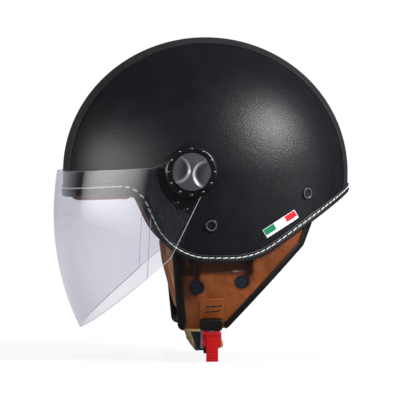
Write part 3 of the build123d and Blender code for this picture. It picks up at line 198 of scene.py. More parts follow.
@dataclass(frozen=True)
class HelmetForm:
    """The helmet's outer form: two half ellipsoids over and under the widest level, in metres."""

    half_length: float = 0.131
    half_width: float = 0.112
    crown: float = 0.1237
    skirt: float = 0.210
    rim_corners: Profile = (
        (-0.131, -0.0225), (-0.0668, -0.0176), (-0.0372, -0.080), (0.0417, -0.080), (0.131, -0.0175))
    rim_radii: tuple[float, ...] = (0.0, 0.020, 0.058, 0.072, 0.0)

    @lru_cache(maxsize=None)
    def rim_line(self, offset: float) -> np.ndarray:
        """Side view of the rim, moved up.

        Args:
            offset: Distance above the rim, square to it.

        Returns:
            Points as rows of x and z, running to the back.
        """
        points = [Vector(corner) for corner in self.rim_corners]
        points[0] = points[1] + (points[0] - points[1]) * 2
        points[-1] = points[-2] + (points[-1] - points[-2]) * 2
        sides = []
        for start, end in zip(points, points[1:]):
            run = (end - start).normalized()
            sides.append(Vector((-run.y, run.x)))
        sides = [sides[0], *sides, sides[-1]]
        moved = []
        for point, before, after in zip(points, sides, sides[1:]):
            middle = (before + after).normalized()
            moved.append(point + middle * (offset / middle.dot(after)))
        radii = [self.rim_radii[0], self.rim_radii[1] + offset, self.rim_radii[2] - offset,
                 self.rim_radii[3] - offset, self.rim_radii[4]]
        line = rounded_outline([tuple(point) for point in moved], radii, closed=False, steps=24)
        return np.array([tuple(point) for point in line])

    def rim_height(self, x: float, offset: float) -> float:
        """Level of the rim line at a place from front to back."""
        line = self.rim_line(offset)
        return float(np.interp(x, line[:, 0], line[:, 1]))

    def polar(self, turn: float, slope: float, depth: float) -> Vector:
        """A point of the form.

        Args:
            turn: Angle round the head from the back, in radians.
            slope: Angle up from the widest level, in radians.
            depth: Depth under the leather's face.

        Returns:
            The point.
        """
        flat = math.cos(slope)
        reach = self.crown if slope > 0 else self.skirt
        return Vector((
            (self.half_length - depth) * flat * math.cos(turn),
            (self.half_width - depth) * flat * math.sin(turn),
            (reach - depth) * math.sin(slope),
        ))

    def side_y(self, x: float, z: float, depth: float) -> float:
        """Distance of the form from the mid-plane at a place in side view.

        Args:
            x: Place from front to back.
            z: Level.
            depth: Depth under the leather's face.

        Returns:
            The distance.
        """
        reach = (self.crown if z > 0 else self.skirt) - depth
        rest = 1 - (x / (self.half_length - depth)) ** 2 - (z / reach) ** 2
        return (self.half_width - depth) * math.sqrt(max(0.0, rest))

    def side_point(self, x: float, z: float, depth: float, side: Side) -> Vector:
        """The form's point at a place in side view."""
        return Vector((x, side.value * self.side_y(x, z, depth), z))

    def normal(self, point: Vector) -> Vector:
        """Direction away from the head at a point of the form."""
        squares = (self.half_length**2, self.half_width**2, (self.crown if point.z > 0 else self.skirt) ** 2)
        return Vector([length / square for length, square in zip(point, squares)]).normalized()

    @lru_cache(maxsize=None)
    def rim_slope(self, turn: float, offset: float, depth: float) -> float:
        """Slope angle at which the form meets the rim line.

        Args:
            turn: Angle round the head.
            offset: Distance above the rim.
            depth: Depth under the leather's face.

        Returns:
            The slope angle.
        """
        low, high = -1.35, 0.9
        for _ in range(26):
            middle = (low + high) / 2
            point = self.polar(turn, middle, depth)
            if point.z < self.rim_height(point.x, offset):
                low = middle
            else:
                high = middle
        return (low + high) / 2

    def at_rim(self, turn: float, offset: float, depth: float) -> Vector:
        """The form's point over the rim at a turn, an offset above it and a depth."""
        return self.polar(turn, self.rim_slope(turn, offset, depth), depth)

    @lru_cache(maxsize=None)
    def rim_turns(self, count: int, offset: float, start: float = 0.0,
                  end: float = math.tau) -> tuple[float, ...]:
        """Turns that are evenly spaced along the rim.

        Args:
            count: Number of spaces.
            offset: Distance above the rim.
            start: First turn.
            end: Last turn.

        Returns:
            The turns, one more than the spaces.
        """
        turns = np.linspace(start, end, 721)
        points = np.array([tuple(self.at_rim(float(turn), offset, 0.0)) for turn in turns])
        reach = np.concatenate([[0.0], np.cumsum(np.linalg.norm(np.diff(points, axis=0), axis=1))])
        places = np.interp(np.linspace(0.0, reach[-1], count + 1), reach, turns)
        return tuple(float(turn) for turn in places)


FORM = HelmetForm()


# Mesh helpers


def mapped_grid(columns: int, rows: int, place: Callable[[int, int], Vector],
                size: Pair = (1.0, 1.0)) -> Mesh:
    """Lays a grid over a surface.

    Args:
        columns: Number of cells along the first way.
        rows: Number of cells along the second way.
        place: Gives the point for a column and a row.
        size: Length of the surface each way, which the UV map is scaled to.

    Returns:
        The surface, with points that meet made one.
    """
    mesh = bmesh.new()
    mesh.loops.layers.uv.new("UVMap")
    bmesh.ops.create_grid(mesh, x_segments=columns, y_segments=rows, size=1.0, calc_uvs=True)
    uv_map = mesh.loops.layers.uv.active
    for face in mesh.faces:
        for loop in face.loops:
            spot = loop.vert.co
            loop[uv_map].uv = ((spot.x + 1) / 2 * size[0], (spot.y + 1) / 2 * size[1])
    places = {}
    for vert in mesh.verts:
        places[vert] = (round((vert.co.x + 1) / 2 * columns), round((vert.co.y + 1) / 2 * rows))
    for vert, (i, j) in places.items():
        vert.co = place(i, j)
    bmesh.ops.remove_doubles(mesh, verts=mesh.verts, dist=2e-6)
    bmesh.ops.dissolve_degenerate(mesh, dist=1e-7, edges=mesh.edges)
    return mesh


def closed_grid(columns: int, rows: int, place: Callable[[int, int], Vector]) -> Mesh:
    """Lays a grid that meets itself, with its faces turned outwards.

    Args:
        columns: Number of cells along the first way.
        rows: Number of cells along the second way.
        place: Gives the point for a column and a row.

    Returns:
        The closed mesh.
    """
    mesh = mapped_grid(columns, rows, place)
    bmesh.ops.recalc_face_normals(mesh, faces=mesh.faces)
    return mesh


def capped(mesh: Mesh) -> Mesh:
    """Fills a tube's open ends and turns its faces outwards.

    Args:
        mesh: The mesh, changed in place.

    Returns:
        The closed mesh.
    """
    bmesh.ops.holes_fill(mesh, edges=[edge for edge in mesh.edges if edge.is_boundary], sides=0)
    bmesh.ops.recalc_face_normals(mesh, faces=mesh.faces)
    return mesh


def facing_out(mesh: Mesh, centre: Vector = Vector((0, 0, -0.03))) -> Mesh:
    """Turns an open sheet's faces away from a centre.

    Args:
        mesh: The mesh, changed in place.
        centre: The centre.

    Returns:
        The same mesh.
    """
    bmesh.ops.recalc_face_normals(mesh, faces=mesh.faces)
    mesh.normal_update()
    total = sum(face.normal.dot(face.calc_center_median() - centre) for face in mesh.faces)
    if total < 0:
        bmesh.ops.reverse_faces(mesh, faces=mesh.faces)
        mesh.normal_update()
    return mesh


def thickened(mesh: Mesh, thickness: float) -> Mesh:
    """Gives an outward-facing sheet a wall on its inside.

    Args:
        mesh: The mesh, changed in place.
        thickness: Thickness of the wall.

    Returns:
        The closed mesh.
    """
    mesh.normal_update()
    bmesh.ops.solidify(mesh, geom=mesh.faces[:], thickness=thickness)
    bmesh.ops.recalc_face_normals(mesh, faces=mesh.faces)
    return mesh


def spun(profile: Sequence[Pair], place: Matrix, steps: int = 96) -> Mesh:
    """Turns a profile into a round piece.

    Args:
        profile: Pairs of radius and height in millimetres.
        place: Carries the piece's upright axis to where it belongs.
        steps: Number of facets round.

    Returns:
        The closed round piece.
    """
    mesh = bmesh.new()
    verts = [mesh.verts.new((radius * MM, 0.0, height * MM)) for radius, height in profile]
    edges = [mesh.edges.new(pair) for pair in zip(verts, verts[1:])]
    bmesh.ops.spin(mesh, geom=verts + edges, cent=(0, 0, 0), axis=(0, 0, 1), angle=2 * math.pi, steps=steps,
                   use_merge=True, use_duplicate=False)
    bmesh.ops.remove_doubles(mesh, verts=mesh.verts, dist=1e-6)
    bmesh.ops.holes_fill(mesh, edges=[edge for edge in mesh.edges if edge.is_boundary], sides=0)
    bmesh.ops.recalc_face_normals(mesh, faces=mesh.faces)
    bmesh.ops.transform(mesh, matrix=place, verts=mesh.verts)
    bmesh.ops.recalc_face_normals(mesh, faces=mesh.faces)
    return mesh


def thread_run(mesh: Mesh, place: Matrix, length: float, radius: float) -> None:
    """Adds one visible run of sewing thread, plump along its middle and dipping at its ends.

    Args:
        mesh: The mesh it is added to.
        place: Carries the run's length from the X axis to where it belongs.
        length: Its length.
        radius: Its radius.
    """
    made = bmesh.ops.create_uvsphere(mesh, u_segments=8, v_segments=8, radius=1.0,
                                     matrix=Matrix.Rotation(math.pi / 2, 4, "Y"))
    for vert in made["verts"]:
        share = vert.co.x
        round_end = math.sqrt(max(1e-9, 1 - share * share))
        plump = max(0.0, 1 - share**6) ** 0.5 / round_end if abs(share) < 0.999 else 1.0
        vert.co = Vector((share * length / 2, vert.co.y * plump * radius, vert.co.z * plump * radius))
        vert.co.z -= radius * 0.55 * share**4
    bmesh.ops.transform(mesh, matrix=place, verts=made["verts"])


def axes_matrix(x_axis: Vector, y_axis: Vector, z_axis: Vector, origin: Vector) -> Matrix:
    """Matrix whose columns are three axes and an origin.

    Args:
        x_axis: First axis.
        y_axis: Second axis.
        z_axis: Third axis.
        origin: The origin.

    Returns:
        The matrix.
    """
    matrix = Matrix((x_axis, y_axis, z_axis)).transposed().to_4x4()
    matrix.translation = origin
    return matrix


def side_matrix(x: float, z: float, side: Side) -> Matrix:
    """Carries an upright piece to a place in side view, in millimetres, its top away from the head."""
    up = Vector((0, side.value, 0))
    return axes_matrix(Vector((1, 0, 0)), up.cross(Vector((1, 0, 0))), up, Vector((x * MM, 0, z * MM)))


def aimed(place: Triple, level: float, axis: str) -> Matrix:
    """Carries a lamp or card to a place, one of its axes pointing at a level over the origin."""
    aim = (Vector((0, 0, level)) - Vector(place)).to_track_quat(axis, "Y")
    return Matrix.Translation(place) @ aim.to_matrix().to_4x4()


def new_object(mesh: Mesh, name: str) -> bpy.types.Object:
    """Makes an object in the scene from a mesh, which is used up.

    Args:
        mesh: The mesh.
        name: Its name.

    Returns:
        The object.
    """
    data = bpy.data.meshes.new(name)
    mesh.to_mesh(data)
    mesh.free()
    made = bpy.data.objects.new(name, data)
    bpy.context.scene.collection.objects.link(made)
    return made


def disc(place: Matrix, radius: float, depth: float, segments: int) -> Mesh:
    """A plain round block.

    Args:
        place: Carries its upright axis to where it belongs.
        radius: Its radius.
        depth: Its height.
        segments: Number of facets round.

    Returns:
        Its mesh.
    """
    mesh = bmesh.new()
    bmesh.ops.create_cone(mesh, cap_ends=True, segments=segments, radius1=radius, radius2=radius, depth=depth,
                          matrix=place)
    return mesh


def with_modifiers(piece: bpy.types.Object) -> None:
    """Makes a piece's modifiers part of its mesh.

    Args:
        piece: The piece.
    """
    bpy.context.view_layer.update()
    graph = bpy.context.evaluated_depsgraph_get()
    mesh = bpy.data.meshes.new_from_object(piece.evaluated_get(graph), depsgraph=graph)
    piece.modifiers.clear()
    piece.data = mesh


# Finishes


class Nodes:
    """A node tree, filled one node at a time."""

    def __init__(self, tree: bpy.types.NodeTree) -> None:
        """Keeps the tree."""
        self.tree = tree

    def add(self, kind: str, **settings: object) -> bpy.types.Node:
        """Adds a node.

        Args:
            kind: Node type without its prefix.
            **settings: Attributes of the node.

        Returns:
            The node.
        """
        node = self.tree.nodes.new("ShaderNode" + kind)
        for key, value in settings.items():
            setattr(node, key, value)
        return node

    def link(self, output: Socket, target: Socket) -> None:
        """Joins two sockets."""
        self.tree.links.new(output, target)

    def levels(self, factor: Socket, low: float, high: float, start: float = 0.0,
               end: float = 1.0) -> Socket:
        """Carries a value from one range to another.

        Args:
            factor: The value.
            low: Its lowest result.
            high: Its highest result.
            start: Where the first range starts.
            end: Where it ends.

        Returns:
            The carried value.
        """
        node = self.add("MapRange")
        for key, value in (("From Min", start), ("From Max", end), ("To Min", low), ("To Max", high)):
            node.inputs[key].default_value = value
        self.link(factor, node.inputs["Value"])
        return node.outputs["Result"]

    def math(self, operation: str, first: Socket,
             second: Socket | float) -> Socket:
        """Arithmetic on two values.

        Args:
            operation: Name of the operation.
            first: First value.
            second: Second value, a socket or a number.

        Returns:
            The result.
        """
        node = self.add("Math", operation=operation)
        self.link(first, node.inputs[0])
        if isinstance(second, (int, float)):
            node.inputs[1].default_value = second
        else:
            self.link(second, node.inputs[1])
        return node.outputs["Value"]

    def blend(self, share: Socket, first: Socket, second: Socket,
              end: str) -> None:
        """Mixes two shaders and makes the mix the surface.

        Args:
            share: Share of the second shader.
            first: Output of the first shader.
            second: Output of the second shader.
            end: Name of the output node.
        """
        mix = self.add("MixShader")
        self.link(share, mix.inputs["Fac"])
        self.link(first, mix.inputs[1])
        self.link(second, mix.inputs[2])
        self.link(mix.outputs["Shader"], self.tree.nodes[end].inputs["Surface"])


class Shader(Nodes):
    """A material's nodes, added round its main shader."""

    def __init__(self, name: str) -> None:
        """Starts a material with a main shader.

        Args:
            name: The material's name.
        """
        self.material = bpy.data.materials.new(name)
        self.material.use_nodes = True
        super().__init__(self.material.node_tree)
        self.main = self.tree.nodes["Principled BSDF"]

    def set(self, **values: object) -> None:
        """Sets the main shader's own sockets, named with underscores for spaces."""
        for key, value in values.items():
            self.main.inputs[key.replace("_", " ")].default_value = value

    def coordinates(self, stretch: Triple = (1, 1, 1),
                    uv: bool = False) -> Socket:
        """Object coordinates or the UV map, scaled.

        Args:
            stretch: Scale along each axis.
            uv: Whether they are the UV map's.

        Returns:
            The coordinates.
        """
        source = self.add("TexCoord")
        mapping = self.add("Mapping")
        mapping.inputs["Scale"].default_value = stretch
        self.link(source.outputs["UV" if uv else "Object"], mapping.inputs["Vector"])
        return mapping.outputs["Vector"]

    def noise(self, scale: float, detail: float, where: Socket) -> Socket:
        """Soft random values.

        Args:
            scale: How fine they are.
            detail: How many finer layers they have.
            where: The coordinates.

        Returns:
            The values.
        """
        node = self.add("TexNoise")
        node.inputs["Scale"].default_value = scale
        node.inputs["Detail"].default_value = detail
        self.link(where, node.inputs["Vector"])
        return node.outputs["Fac"]

    def cells(self, scale: float, where: Socket, feature: str = "F1") -> Socket:
        """Distance to the nearest of many scattered points, or to a cell's edge.

        Args:
            scale: How many points there are in a unit.
            where: The coordinates.
            feature: Which distance it is.

        Returns:
            The distance.
        """
        node = self.add("TexVoronoi", feature=feature)
        node.inputs["Scale"].default_value = scale
        self.link(where, node.inputs["Vector"])
        return node.outputs["Distance"]

    def ramp(self, factor: Socket, stops: Sequence[tuple[float, Triple]],
             sharp: bool = False) -> Socket:
        """Colours along a value.

        Args:
            factor: The value.
            stops: Places and their colours.
            sharp: Whether the colours don't blend.

        Returns:
            The colour.
        """
        node = self.add("ValToRGB")
        if sharp:
            node.color_ramp.interpolation = "CONSTANT"
        while len(node.color_ramp.elements) < len(stops):
            node.color_ramp.elements.new(0.5)
        for element, (position, colour) in zip(node.color_ramp.elements, stops):
            element.position = position
            element.color = (*colour, 1.0)
        self.link(factor, node.inputs["Fac"])
        return node.outputs["Color"]

    def mixed(self, factor: Socket, first: Socket,
              second: Triple, blend: str = "MIX") -> Socket:
        """Mixes a plain colour into another.

        Args:
            factor: Share of the plain colour.
            first: The colour it goes into.
            second: The plain colour.
            blend: How the two are joined.

        Returns:
            The mixed colour.
        """
        mix = self.add("Mix", data_type="RGBA", blend_type=blend)
        self.link(factor, mix.inputs[0])
        self.link(first, mix.inputs[6])
        mix.inputs[7].default_value = (*second, 1.0)
        return mix.outputs[2]

    def surface(self, share: Socket, output: Socket) -> None:
        """Mixes another shader over the main one."""
        self.blend(share, self.main.outputs["BSDF"], output, "Material Output")

    def bump(self, heights: Sequence[tuple[Socket, float]]) -> None:
        """Adds relief layers, each a value and its height in metres.

        Args:
            heights: The layers, the lowest first.
        """
        last = None
        for socket, distance in heights:
            node = self.add("Bump")
            node.inputs["Strength"].default_value = 1.0
            node.inputs["Distance"].default_value = distance
            self.link(socket, node.inputs["Height"])
            if last is not None:
                self.link(last, node.inputs["Normal"])
            last = node.outputs["Normal"]
        self.link(last, self.main.inputs["Normal"])


def tint(red: int, green: int, blue: int) -> Triple:
    """Linear colour from the screen's 0 to 255 values.

    Args:
        red: Red.
        green: Green.
        blue: Blue.

    Returns:
        The linear colour.
    """
    def linear(value: int) -> float:
        """Linear share of one colour."""
        share = value / 255
        return share / 12.92 if share <= 0.04045 else ((share + 0.055) / 1.055) ** 2.4
    return linear(red), linear(green), linear(blue)


# Colour multiplied into the flap's leather as painted shade, under the rim, in its creases and round its
# vents.
FOLD_SHADE = (0.10, 0.09, 0.11)


@dataclass(frozen=True)
class LeatherFinish:
    """Grained leather with soft uneven colour."""

    name: str
    light: Rgb
    dark: Rgb
    grain: float = 900.0
    relief: float = 0.00012
    roughness: Pair = (0.42, 0.62)
    patches: float = 60.0
    specular: float = 0.35
    unevenness: float = 0.00012
    # When set, the piece's fold values multiply painted shade into the colour.
    folds: bool = False

    def build(self) -> bpy.types.Material:
        """Makes the material.

        Returns:
            The material.
        """
        shader = Shader(self.name)
        where = shader.coordinates()
        broad = shader.noise(self.patches, 3.0, where)
        fine = shader.noise(self.grain * 1.7, 4.0, where)
        cells = shader.cells(self.grain, where)
        colour = shader.ramp(broad, [(0.3, tint(*self.dark)), (0.7, tint(*self.light))])
        if self.folds:
            colour = self.darker_folds(shader, colour)
        shader.link(colour, shader.main.inputs["Base Color"])
        shader.link(shader.levels(fine, *self.roughness, 0.35, 0.65), shader.main.inputs["Roughness"])
        shader.set(Specular_IOR_Level=self.specular)
        shader.bump([(broad, self.unevenness), (cells, self.relief), (fine, self.relief * 0.8)])
        return shader.material

    @staticmethod
    def darker_folds(shader: Shader, colour: Socket) -> Socket:
        """Multiplies painted shade into the leather as far as the piece's own fold values say.

        Args:
            shader: The material's nodes.
            colour: Colour of the leather.

        Returns:
            The darkened colour.
        """
        fold = shader.add("Attribute", attribute_name="fold")
        return shader.mixed(fold.outputs["Fac"], colour, FOLD_SHADE, "MULTIPLY")


@dataclass(frozen=True)
class WovenFinish:
    """Threads crossing each other, laid along a piece's own UV map in metres."""

    name: str
    light: Rgb
    dark: Rgb
    pitch: float = 0.0009
    relief: float = 0.00016
    sheen: float = 0.15
    uv: bool = True

    def build(self) -> bpy.types.Material:
        """Makes the material.

        Returns:
            The material.
        """
        shader = Shader(self.name)
        where = shader.coordinates((1 / self.pitch,) * 3, uv=self.uv)
        split = shader.add("SeparateXYZ")
        shader.link(where, split.inputs["Vector"])
        waves = []
        for axis in ("X", "Y"):
            waves.append(shader.math("SINE", shader.math("MULTIPLY", split.outputs[axis], math.tau), 0.0))
        weave = shader.math("MULTIPLY", waves[0], waves[1])
        raised = shader.levels(weave, 0.0, 1.0, -1.0, 1.0)
        fuzz = shader.noise(3.0, 3.0, where)
        mixed = shader.math("ADD", shader.math("MULTIPLY", raised, 0.6), shader.math("MULTIPLY", fuzz, 0.4))
        shader.link(shader.ramp(mixed, [(0.2, tint(*self.dark)), (0.75, tint(*self.light))]),
                    shader.main.inputs["Base Color"])
        shader.set(Roughness=0.85, Specular_IOR_Level=0.15, Sheen_Weight=self.sheen)
        shader.bump([(raised, self.relief), (fuzz, self.relief * 0.5)])
        return shader.material


@dataclass(frozen=True)
class MouldedFinish:
    """Moulded plastic or painted metal with a faint texture."""

    name: str
    colour: Rgb
    roughness: float = 0.3
    metal: float = 0.0
    texture: float = 1400.0
    relief: float = 0.00002
    specular: float = 0.4
    coat: float = 0.0
    # Optional tints that the piece's own attributes lay over the colour, as a painted highlight and painted
    # shade.
    polished: Rgb | None = None
    recessed: Rgb | None = None

    def build(self) -> bpy.types.Material:
        """Makes the material.

        Returns:
            The material.
        """
        shader = Shader(self.name)
        where = shader.coordinates()
        fine = shader.noise(self.texture, 3.0, where)
        broad = shader.noise(90.0, 3.0, where)
        base = tint(*self.colour)
        dim = tuple(value * 0.82 for value in base)
        colour = shader.ramp(broad, [(0.3, dim), (0.7, base)])
        # Painted highlight and painted shade, as far as the piece's attributes say.
        for name, shade in (("polish", self.polished), ("recess", self.recessed)):
            if shade is not None:
                value = shader.add("Attribute", attribute_name=name)
                colour = shader.mixed(value.outputs["Fac"], colour, tint(*shade))
        shader.link(colour, shader.main.inputs["Base Color"])
        shader.link(shader.levels(broad, self.roughness * 0.85, self.roughness * 1.15, 0.3, 0.7),
                    shader.main.inputs["Roughness"])
        shader.set(Metallic=self.metal, Specular_IOR_Level=self.specular, Coat_Weight=self.coat)
        shader.bump([(fine, self.relief)])
        return shader.material


@dataclass(frozen=True)
class ShieldFinish:
    """Clear visor plastic with a faint lavender tint and a painted glow that grows towards grazing angles."""

    name: str = "visor_clear"
    colour: Rgb = (236, 236, 242)
    deep: Rgb = (233, 233, 240)
    haze: Rgb = (220, 220, 228)
    haze_share: float = 0.002
    edge_haze: float = 0.8

    def build(self) -> bpy.types.Material:
        """Makes the material.

        Returns:
            The material.
        """
        shader = Shader(self.name)
        broad = shader.noise(14.0, 1.0, shader.coordinates())
        fine = shader.noise(260.0, 2.0, shader.coordinates())
        shader.link(shader.levels(fine, 0.004, 0.012, 0.3, 0.7), shader.main.inputs["Roughness"])
        shader.link(shader.ramp(broad, [(0.35, tint(*self.deep)), (0.65, tint(*self.colour))]),
                    shader.main.inputs["Base Color"])
        shader.set(Transmission_Weight=1.0, IOR=1.45)
        # Painted glow: emission mixed in more towards grazing angles.
        painted_glow = shader.add("Emission")
        painted_glow.inputs["Color"].default_value = (*tint(*self.haze), 1.0)
        grazing = shader.add("LayerWeight")
        grazing.inputs["Blend"].default_value = 0.3
        share = shader.levels(grazing.outputs["Facing"], self.haze_share, self.edge_haze, 0.3, 0.8)
        shader.surface(share, painted_glow.outputs["Emission"])
        return shader.material


@dataclass(frozen=True)
class FlagFinish:
    """Three woven colour bars over a plain pale strip, along the patch's own UV map."""

    name: str = "patch_bars"
    bars: tuple[Rgb, ...] = ((0, 118, 72), (214, 215, 222), (192, 26, 34))
    strip: Rgb = (214, 215, 220)
    strip_share: float = 0.28
    border_share: Pair = (0.012, 0.045)

    def build(self) -> bpy.types.Material:
        """Makes the material.

        Returns:
            The material.
        """
        shader = Shader(self.name)
        where = shader.coordinates(uv=True)
        split = shader.add("SeparateXYZ")
        shader.link(where, split.inputs["Vector"])
        stops = [(k / len(self.bars), tint(*bar)) for k, bar in enumerate(self.bars)]
        bars = shader.ramp(split.outputs["X"], stops, sharp=True)
        low = shader.math("LESS_THAN", split.outputs["Y"], self.strip_share)
        for axis, border in zip(("X", "Y"), self.border_share):
            reach = shader.math("ABSOLUTE", shader.math("SUBTRACT", split.outputs[axis], 0.5), 0.0)
            low = shader.math("MAXIMUM", low, shader.math("GREATER_THAN", reach, 0.5 - border))
        shader.link(shader.mixed(low, bars, tint(*self.strip)), shader.main.inputs["Base Color"])
        threads = shader.noise(2200.0, 2.0, shader.coordinates())
        shader.set(Roughness=0.6, Specular_IOR_Level=0.25)
        shader.bump([(threads, 0.00008)])
        return shader.material


class Finishes:
    """Every material of the helmet, made once."""

    def __init__(self) -> None:
        """Makes the materials."""
        self.black_leather = LeatherFinish("leather_black", (19, 20, 25), (13, 14, 18), specular=0.36,
                                           roughness=(0.36, 0.44), unevenness=0.00018).build()
        self.trim_leather = LeatherFinish("leather_trim", (26, 27, 30), (17, 18, 20), grain=1100.0).build()
        self.band_leather = LeatherFinish("leather_band", (40, 42, 43), (32, 34, 35)).build()
        # The brown leather takes painted shade from each piece's fold values.
        self.brown_leather = LeatherFinish("leather_brown", (124, 63, 18), (106, 50, 12), grain=1200.0,
                                           relief=0.00014, patches=45.0, roughness=(0.28, 0.4), specular=0.45,
                                           folds=True).build()
        self.tan_leather = LeatherFinish("leather_tan", (176, 118, 80), (134, 82, 52), grain=1400.0,
                                         patches=70.0).build()
        self.lining = WovenFinish("lining_weave", (138, 84, 70), (96, 52, 42), pitch=0.0011, uv=False).build()
        self.liner_mesh = WovenFinish("liner_weave", (60, 52, 50), (34, 28, 27), pitch=0.0013,
                                      uv=False).build()
        self.cream = LeatherFinish("pad_cream", (180, 150, 106), (150, 122, 82), grain=1500.0,
                                   roughness=(0.6, 0.8), specular=0.2).build()
        self.webbing = WovenFinish("webbing_black", (40, 40, 44), (16, 16, 18), pitch=0.0015).build()
        self.ribbon = WovenFinish("ribbon_red", (176, 6, 10), (118, 1, 5), pitch=0.0012, relief=0.0001,
                                  sheen=0.05).build()
        self.binding = LeatherFinish("binding_black", (17, 17, 18), (9, 9, 10), grain=1300.0).build()
        self.white_thread = WovenFinish("thread_white", (236, 236, 234), (190, 190, 188), pitch=0.0005,
                                        uv=False, relief=0.00005).build()
        self.black_thread = WovenFinish("thread_black", (20, 14, 12), (8, 6, 6), pitch=0.0005, uv=False,
                                        relief=0.00005).build()
        self.vent = WovenFinish("vent_mesh", (20, 22, 40), (4, 5, 12), pitch=0.0012, relief=0.0003,
                                uv=False).build()
        self.shield = ShieldFinish().build()
        # Pale finish on the shield's sawn edges and outer round, a painted highlight.
        self.shield_edge = MouldedFinish("visor_edge", (206, 207, 216), relief=0.00001).build()
        # Grey finish of the round along the rim trim's upper fold, a painted highlight on that edge.
        self.piping = MouldedFinish("piping_wax", (74, 75, 78)).build()
        # Dark matte finish on the shield's fold lines, painted shade for the dark line the bend shows.
        self.shield_fold = MouldedFinish("visor_fold", (58, 58, 64), roughness=0.9, relief=0.00001,
                                         specular=0.0).build()
        self.black_plastic = MouldedFinish("plastic_black", (15, 15, 17)).build()
        self.arm_plastic = MouldedFinish("plastic_arm", (14, 14, 17)).build()
        # Pale tint for the painted highlight on the knob's hollow walls, dark tint for painted shade on their
        # floors.
        self.knob_grey = MouldedFinish("knob_grey", (74, 74, 77), roughness=0.36, metal=0.3,
                                       polished=(176, 176, 179), recessed=(40, 40, 42)).build()
        self.red_plastic = MouldedFinish("plastic_red", (168, 6, 12), coat=0.3).build()
        self.steel = MouldedFinish("steel_brushed", (150, 150, 158), roughness=0.36, metal=0.45).build()
        self.rivet = MouldedFinish("rivet_black", (20, 20, 23)).build()
        self.stud = MouldedFinish("stud_dark", (130, 130, 134), roughness=0.14, metal=0.9).build()
        # The rivets' raised ring is real; its pale grey is a painted highlight along its edge.
        self.rivet_ring = MouldedFinish("rivet_ring", (122, 122, 124), metal=0.4).build()
        self.shell = MouldedFinish("shell_moulded", (40, 40, 42), roughness=0.45).build()
        self.foam = MouldedFinish("foam_beads", (44, 44, 46), roughness=0.9, texture=500.0, relief=0.0004,
                                  specular=0.1).build()
        self.flag = FlagFinish().build()


# Pieces


class Bench:
    """Where meshes become pieces of the helmet."""

    def __init__(self, frame: dict) -> None:
        """Keeps the frame and makes the finishes.

        Args:
            frame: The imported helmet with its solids.
        """
        self.frame = frame
        self.finish = Finishes()
        self.slots = {part["node"]: part["material_slot"] for part in frame["record"]["subparts"]}

    def piece(self, mesh: Mesh, name: str, material: bpy.types.Material, body: str = "helmet",
              replaces: Sequence[str] = (), sharp: float = 35.0) -> bpy.types.Object:
        """Makes a mesh a finished piece that rides on a body.

        Args:
            mesh: The mesh, used up by this.
            name: The piece's name.
            material: Its finish.
            body: The body it rides on.
            replaces: Nodes that it stands for.
            sharp: Angle in degrees over which an edge stays sharp.

        Returns:
            The piece.
        """
        piece = new_object(mesh, name)
        piece.data.materials.append(material)
        self.smooth(piece, sharp)
        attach(piece, body)
        if replaces:
            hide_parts(*replaces)
        LOG.info("%s: %d faces on %s", name, len(piece.data.polygons), body)
        return piece

    @staticmethod
    def smooth(piece: bpy.types.Object, sharp: float) -> None:
        """Shades a piece smooth up to an angle."""
        piece.data.shade_smooth()
        piece.data.set_sharp_from_angle(angle=math.radians(sharp))

    def cut(self, piece: bpy.types.Object, cutters: Sequence[Mesh], sharp: float = 35.0) -> None:
        """Cuts closed shapes out of a piece.

        Args:
            piece: The piece.
            cutters: The shapes, used up by this.
            sharp: Angle in degrees over which an edge stays sharp.
        """
        helpers = []
        for cutter in cutters:
            helpers.append(new_object(cutter, "cutter"))
            modifier = piece.modifiers.new("cut", "BOOLEAN")
            modifier.operation = "DIFFERENCE"
            modifier.solver = "MANIFOLD"
            modifier.object = helpers[-1]
        with_modifiers(piece)
        for helper in helpers:
            bpy.data.objects.remove(helper)
        self.smooth(piece, sharp)

    def softened(self, nodes: Sequence[str], name: str, material: bpy.types.Material, body: str,
                 width: float = 0.3 * MM) -> bpy.types.Object:
        """Makes a piece from copies of solids, with small rounds along their edges.

        Args:
            nodes: The solids it stands for.
            name: The piece's name.
            material: Its finish.
            body: The body it rides on.
            width: Width of the rounds.

        Returns:
            The piece.
        """
        mesh = bmesh.new()
        for node in nodes:
            mesh.from_mesh(self.frame["nodes"][node].data)
        bmesh.ops.remove_doubles(mesh, verts=mesh.verts, dist=1e-6)
        bmesh.ops.dissolve_limit(mesh, angle_limit=math.radians(1.0), verts=mesh.verts, edges=mesh.edges)
        bmesh.ops.recalc_face_normals(mesh, faces=mesh.faces)
        piece = self.piece(mesh, name, material, body, nodes)
        self.rounded(piece, width, 3, 28, 40)
        return piece

    def rounded(self, piece: bpy.types.Object, width: float, segments: int, limit: float,
                sharp: float) -> None:
        """Rounds a piece's edges.

        Args:
            piece: The piece.
            width: Width of the rounds.
            segments: Facets across a round.
            limit: Angle in degrees over which an edge is rounded.
            sharp: Angle in degrees over which an edge stays sharp afterwards.
        """
        bevel = piece.modifiers.new("round", "BEVEL")
        bevel.width = width
        bevel.segments = segments
        bevel.limit_method = "ANGLE"
        bevel.angle_limit = math.radians(limit)
        with_modifiers(piece)
        self.smooth(piece, sharp)

    def dress(self, node: str, material: bpy.types.Material) -> None:
        """Gives a solid that stays shown its finish.

        Args:
            node: Name of the solid.
            material: Its finish.
        """
        solid = self.frame["nodes"][node]
        solid.data.materials.clear()
        solid.data.materials.append(material)


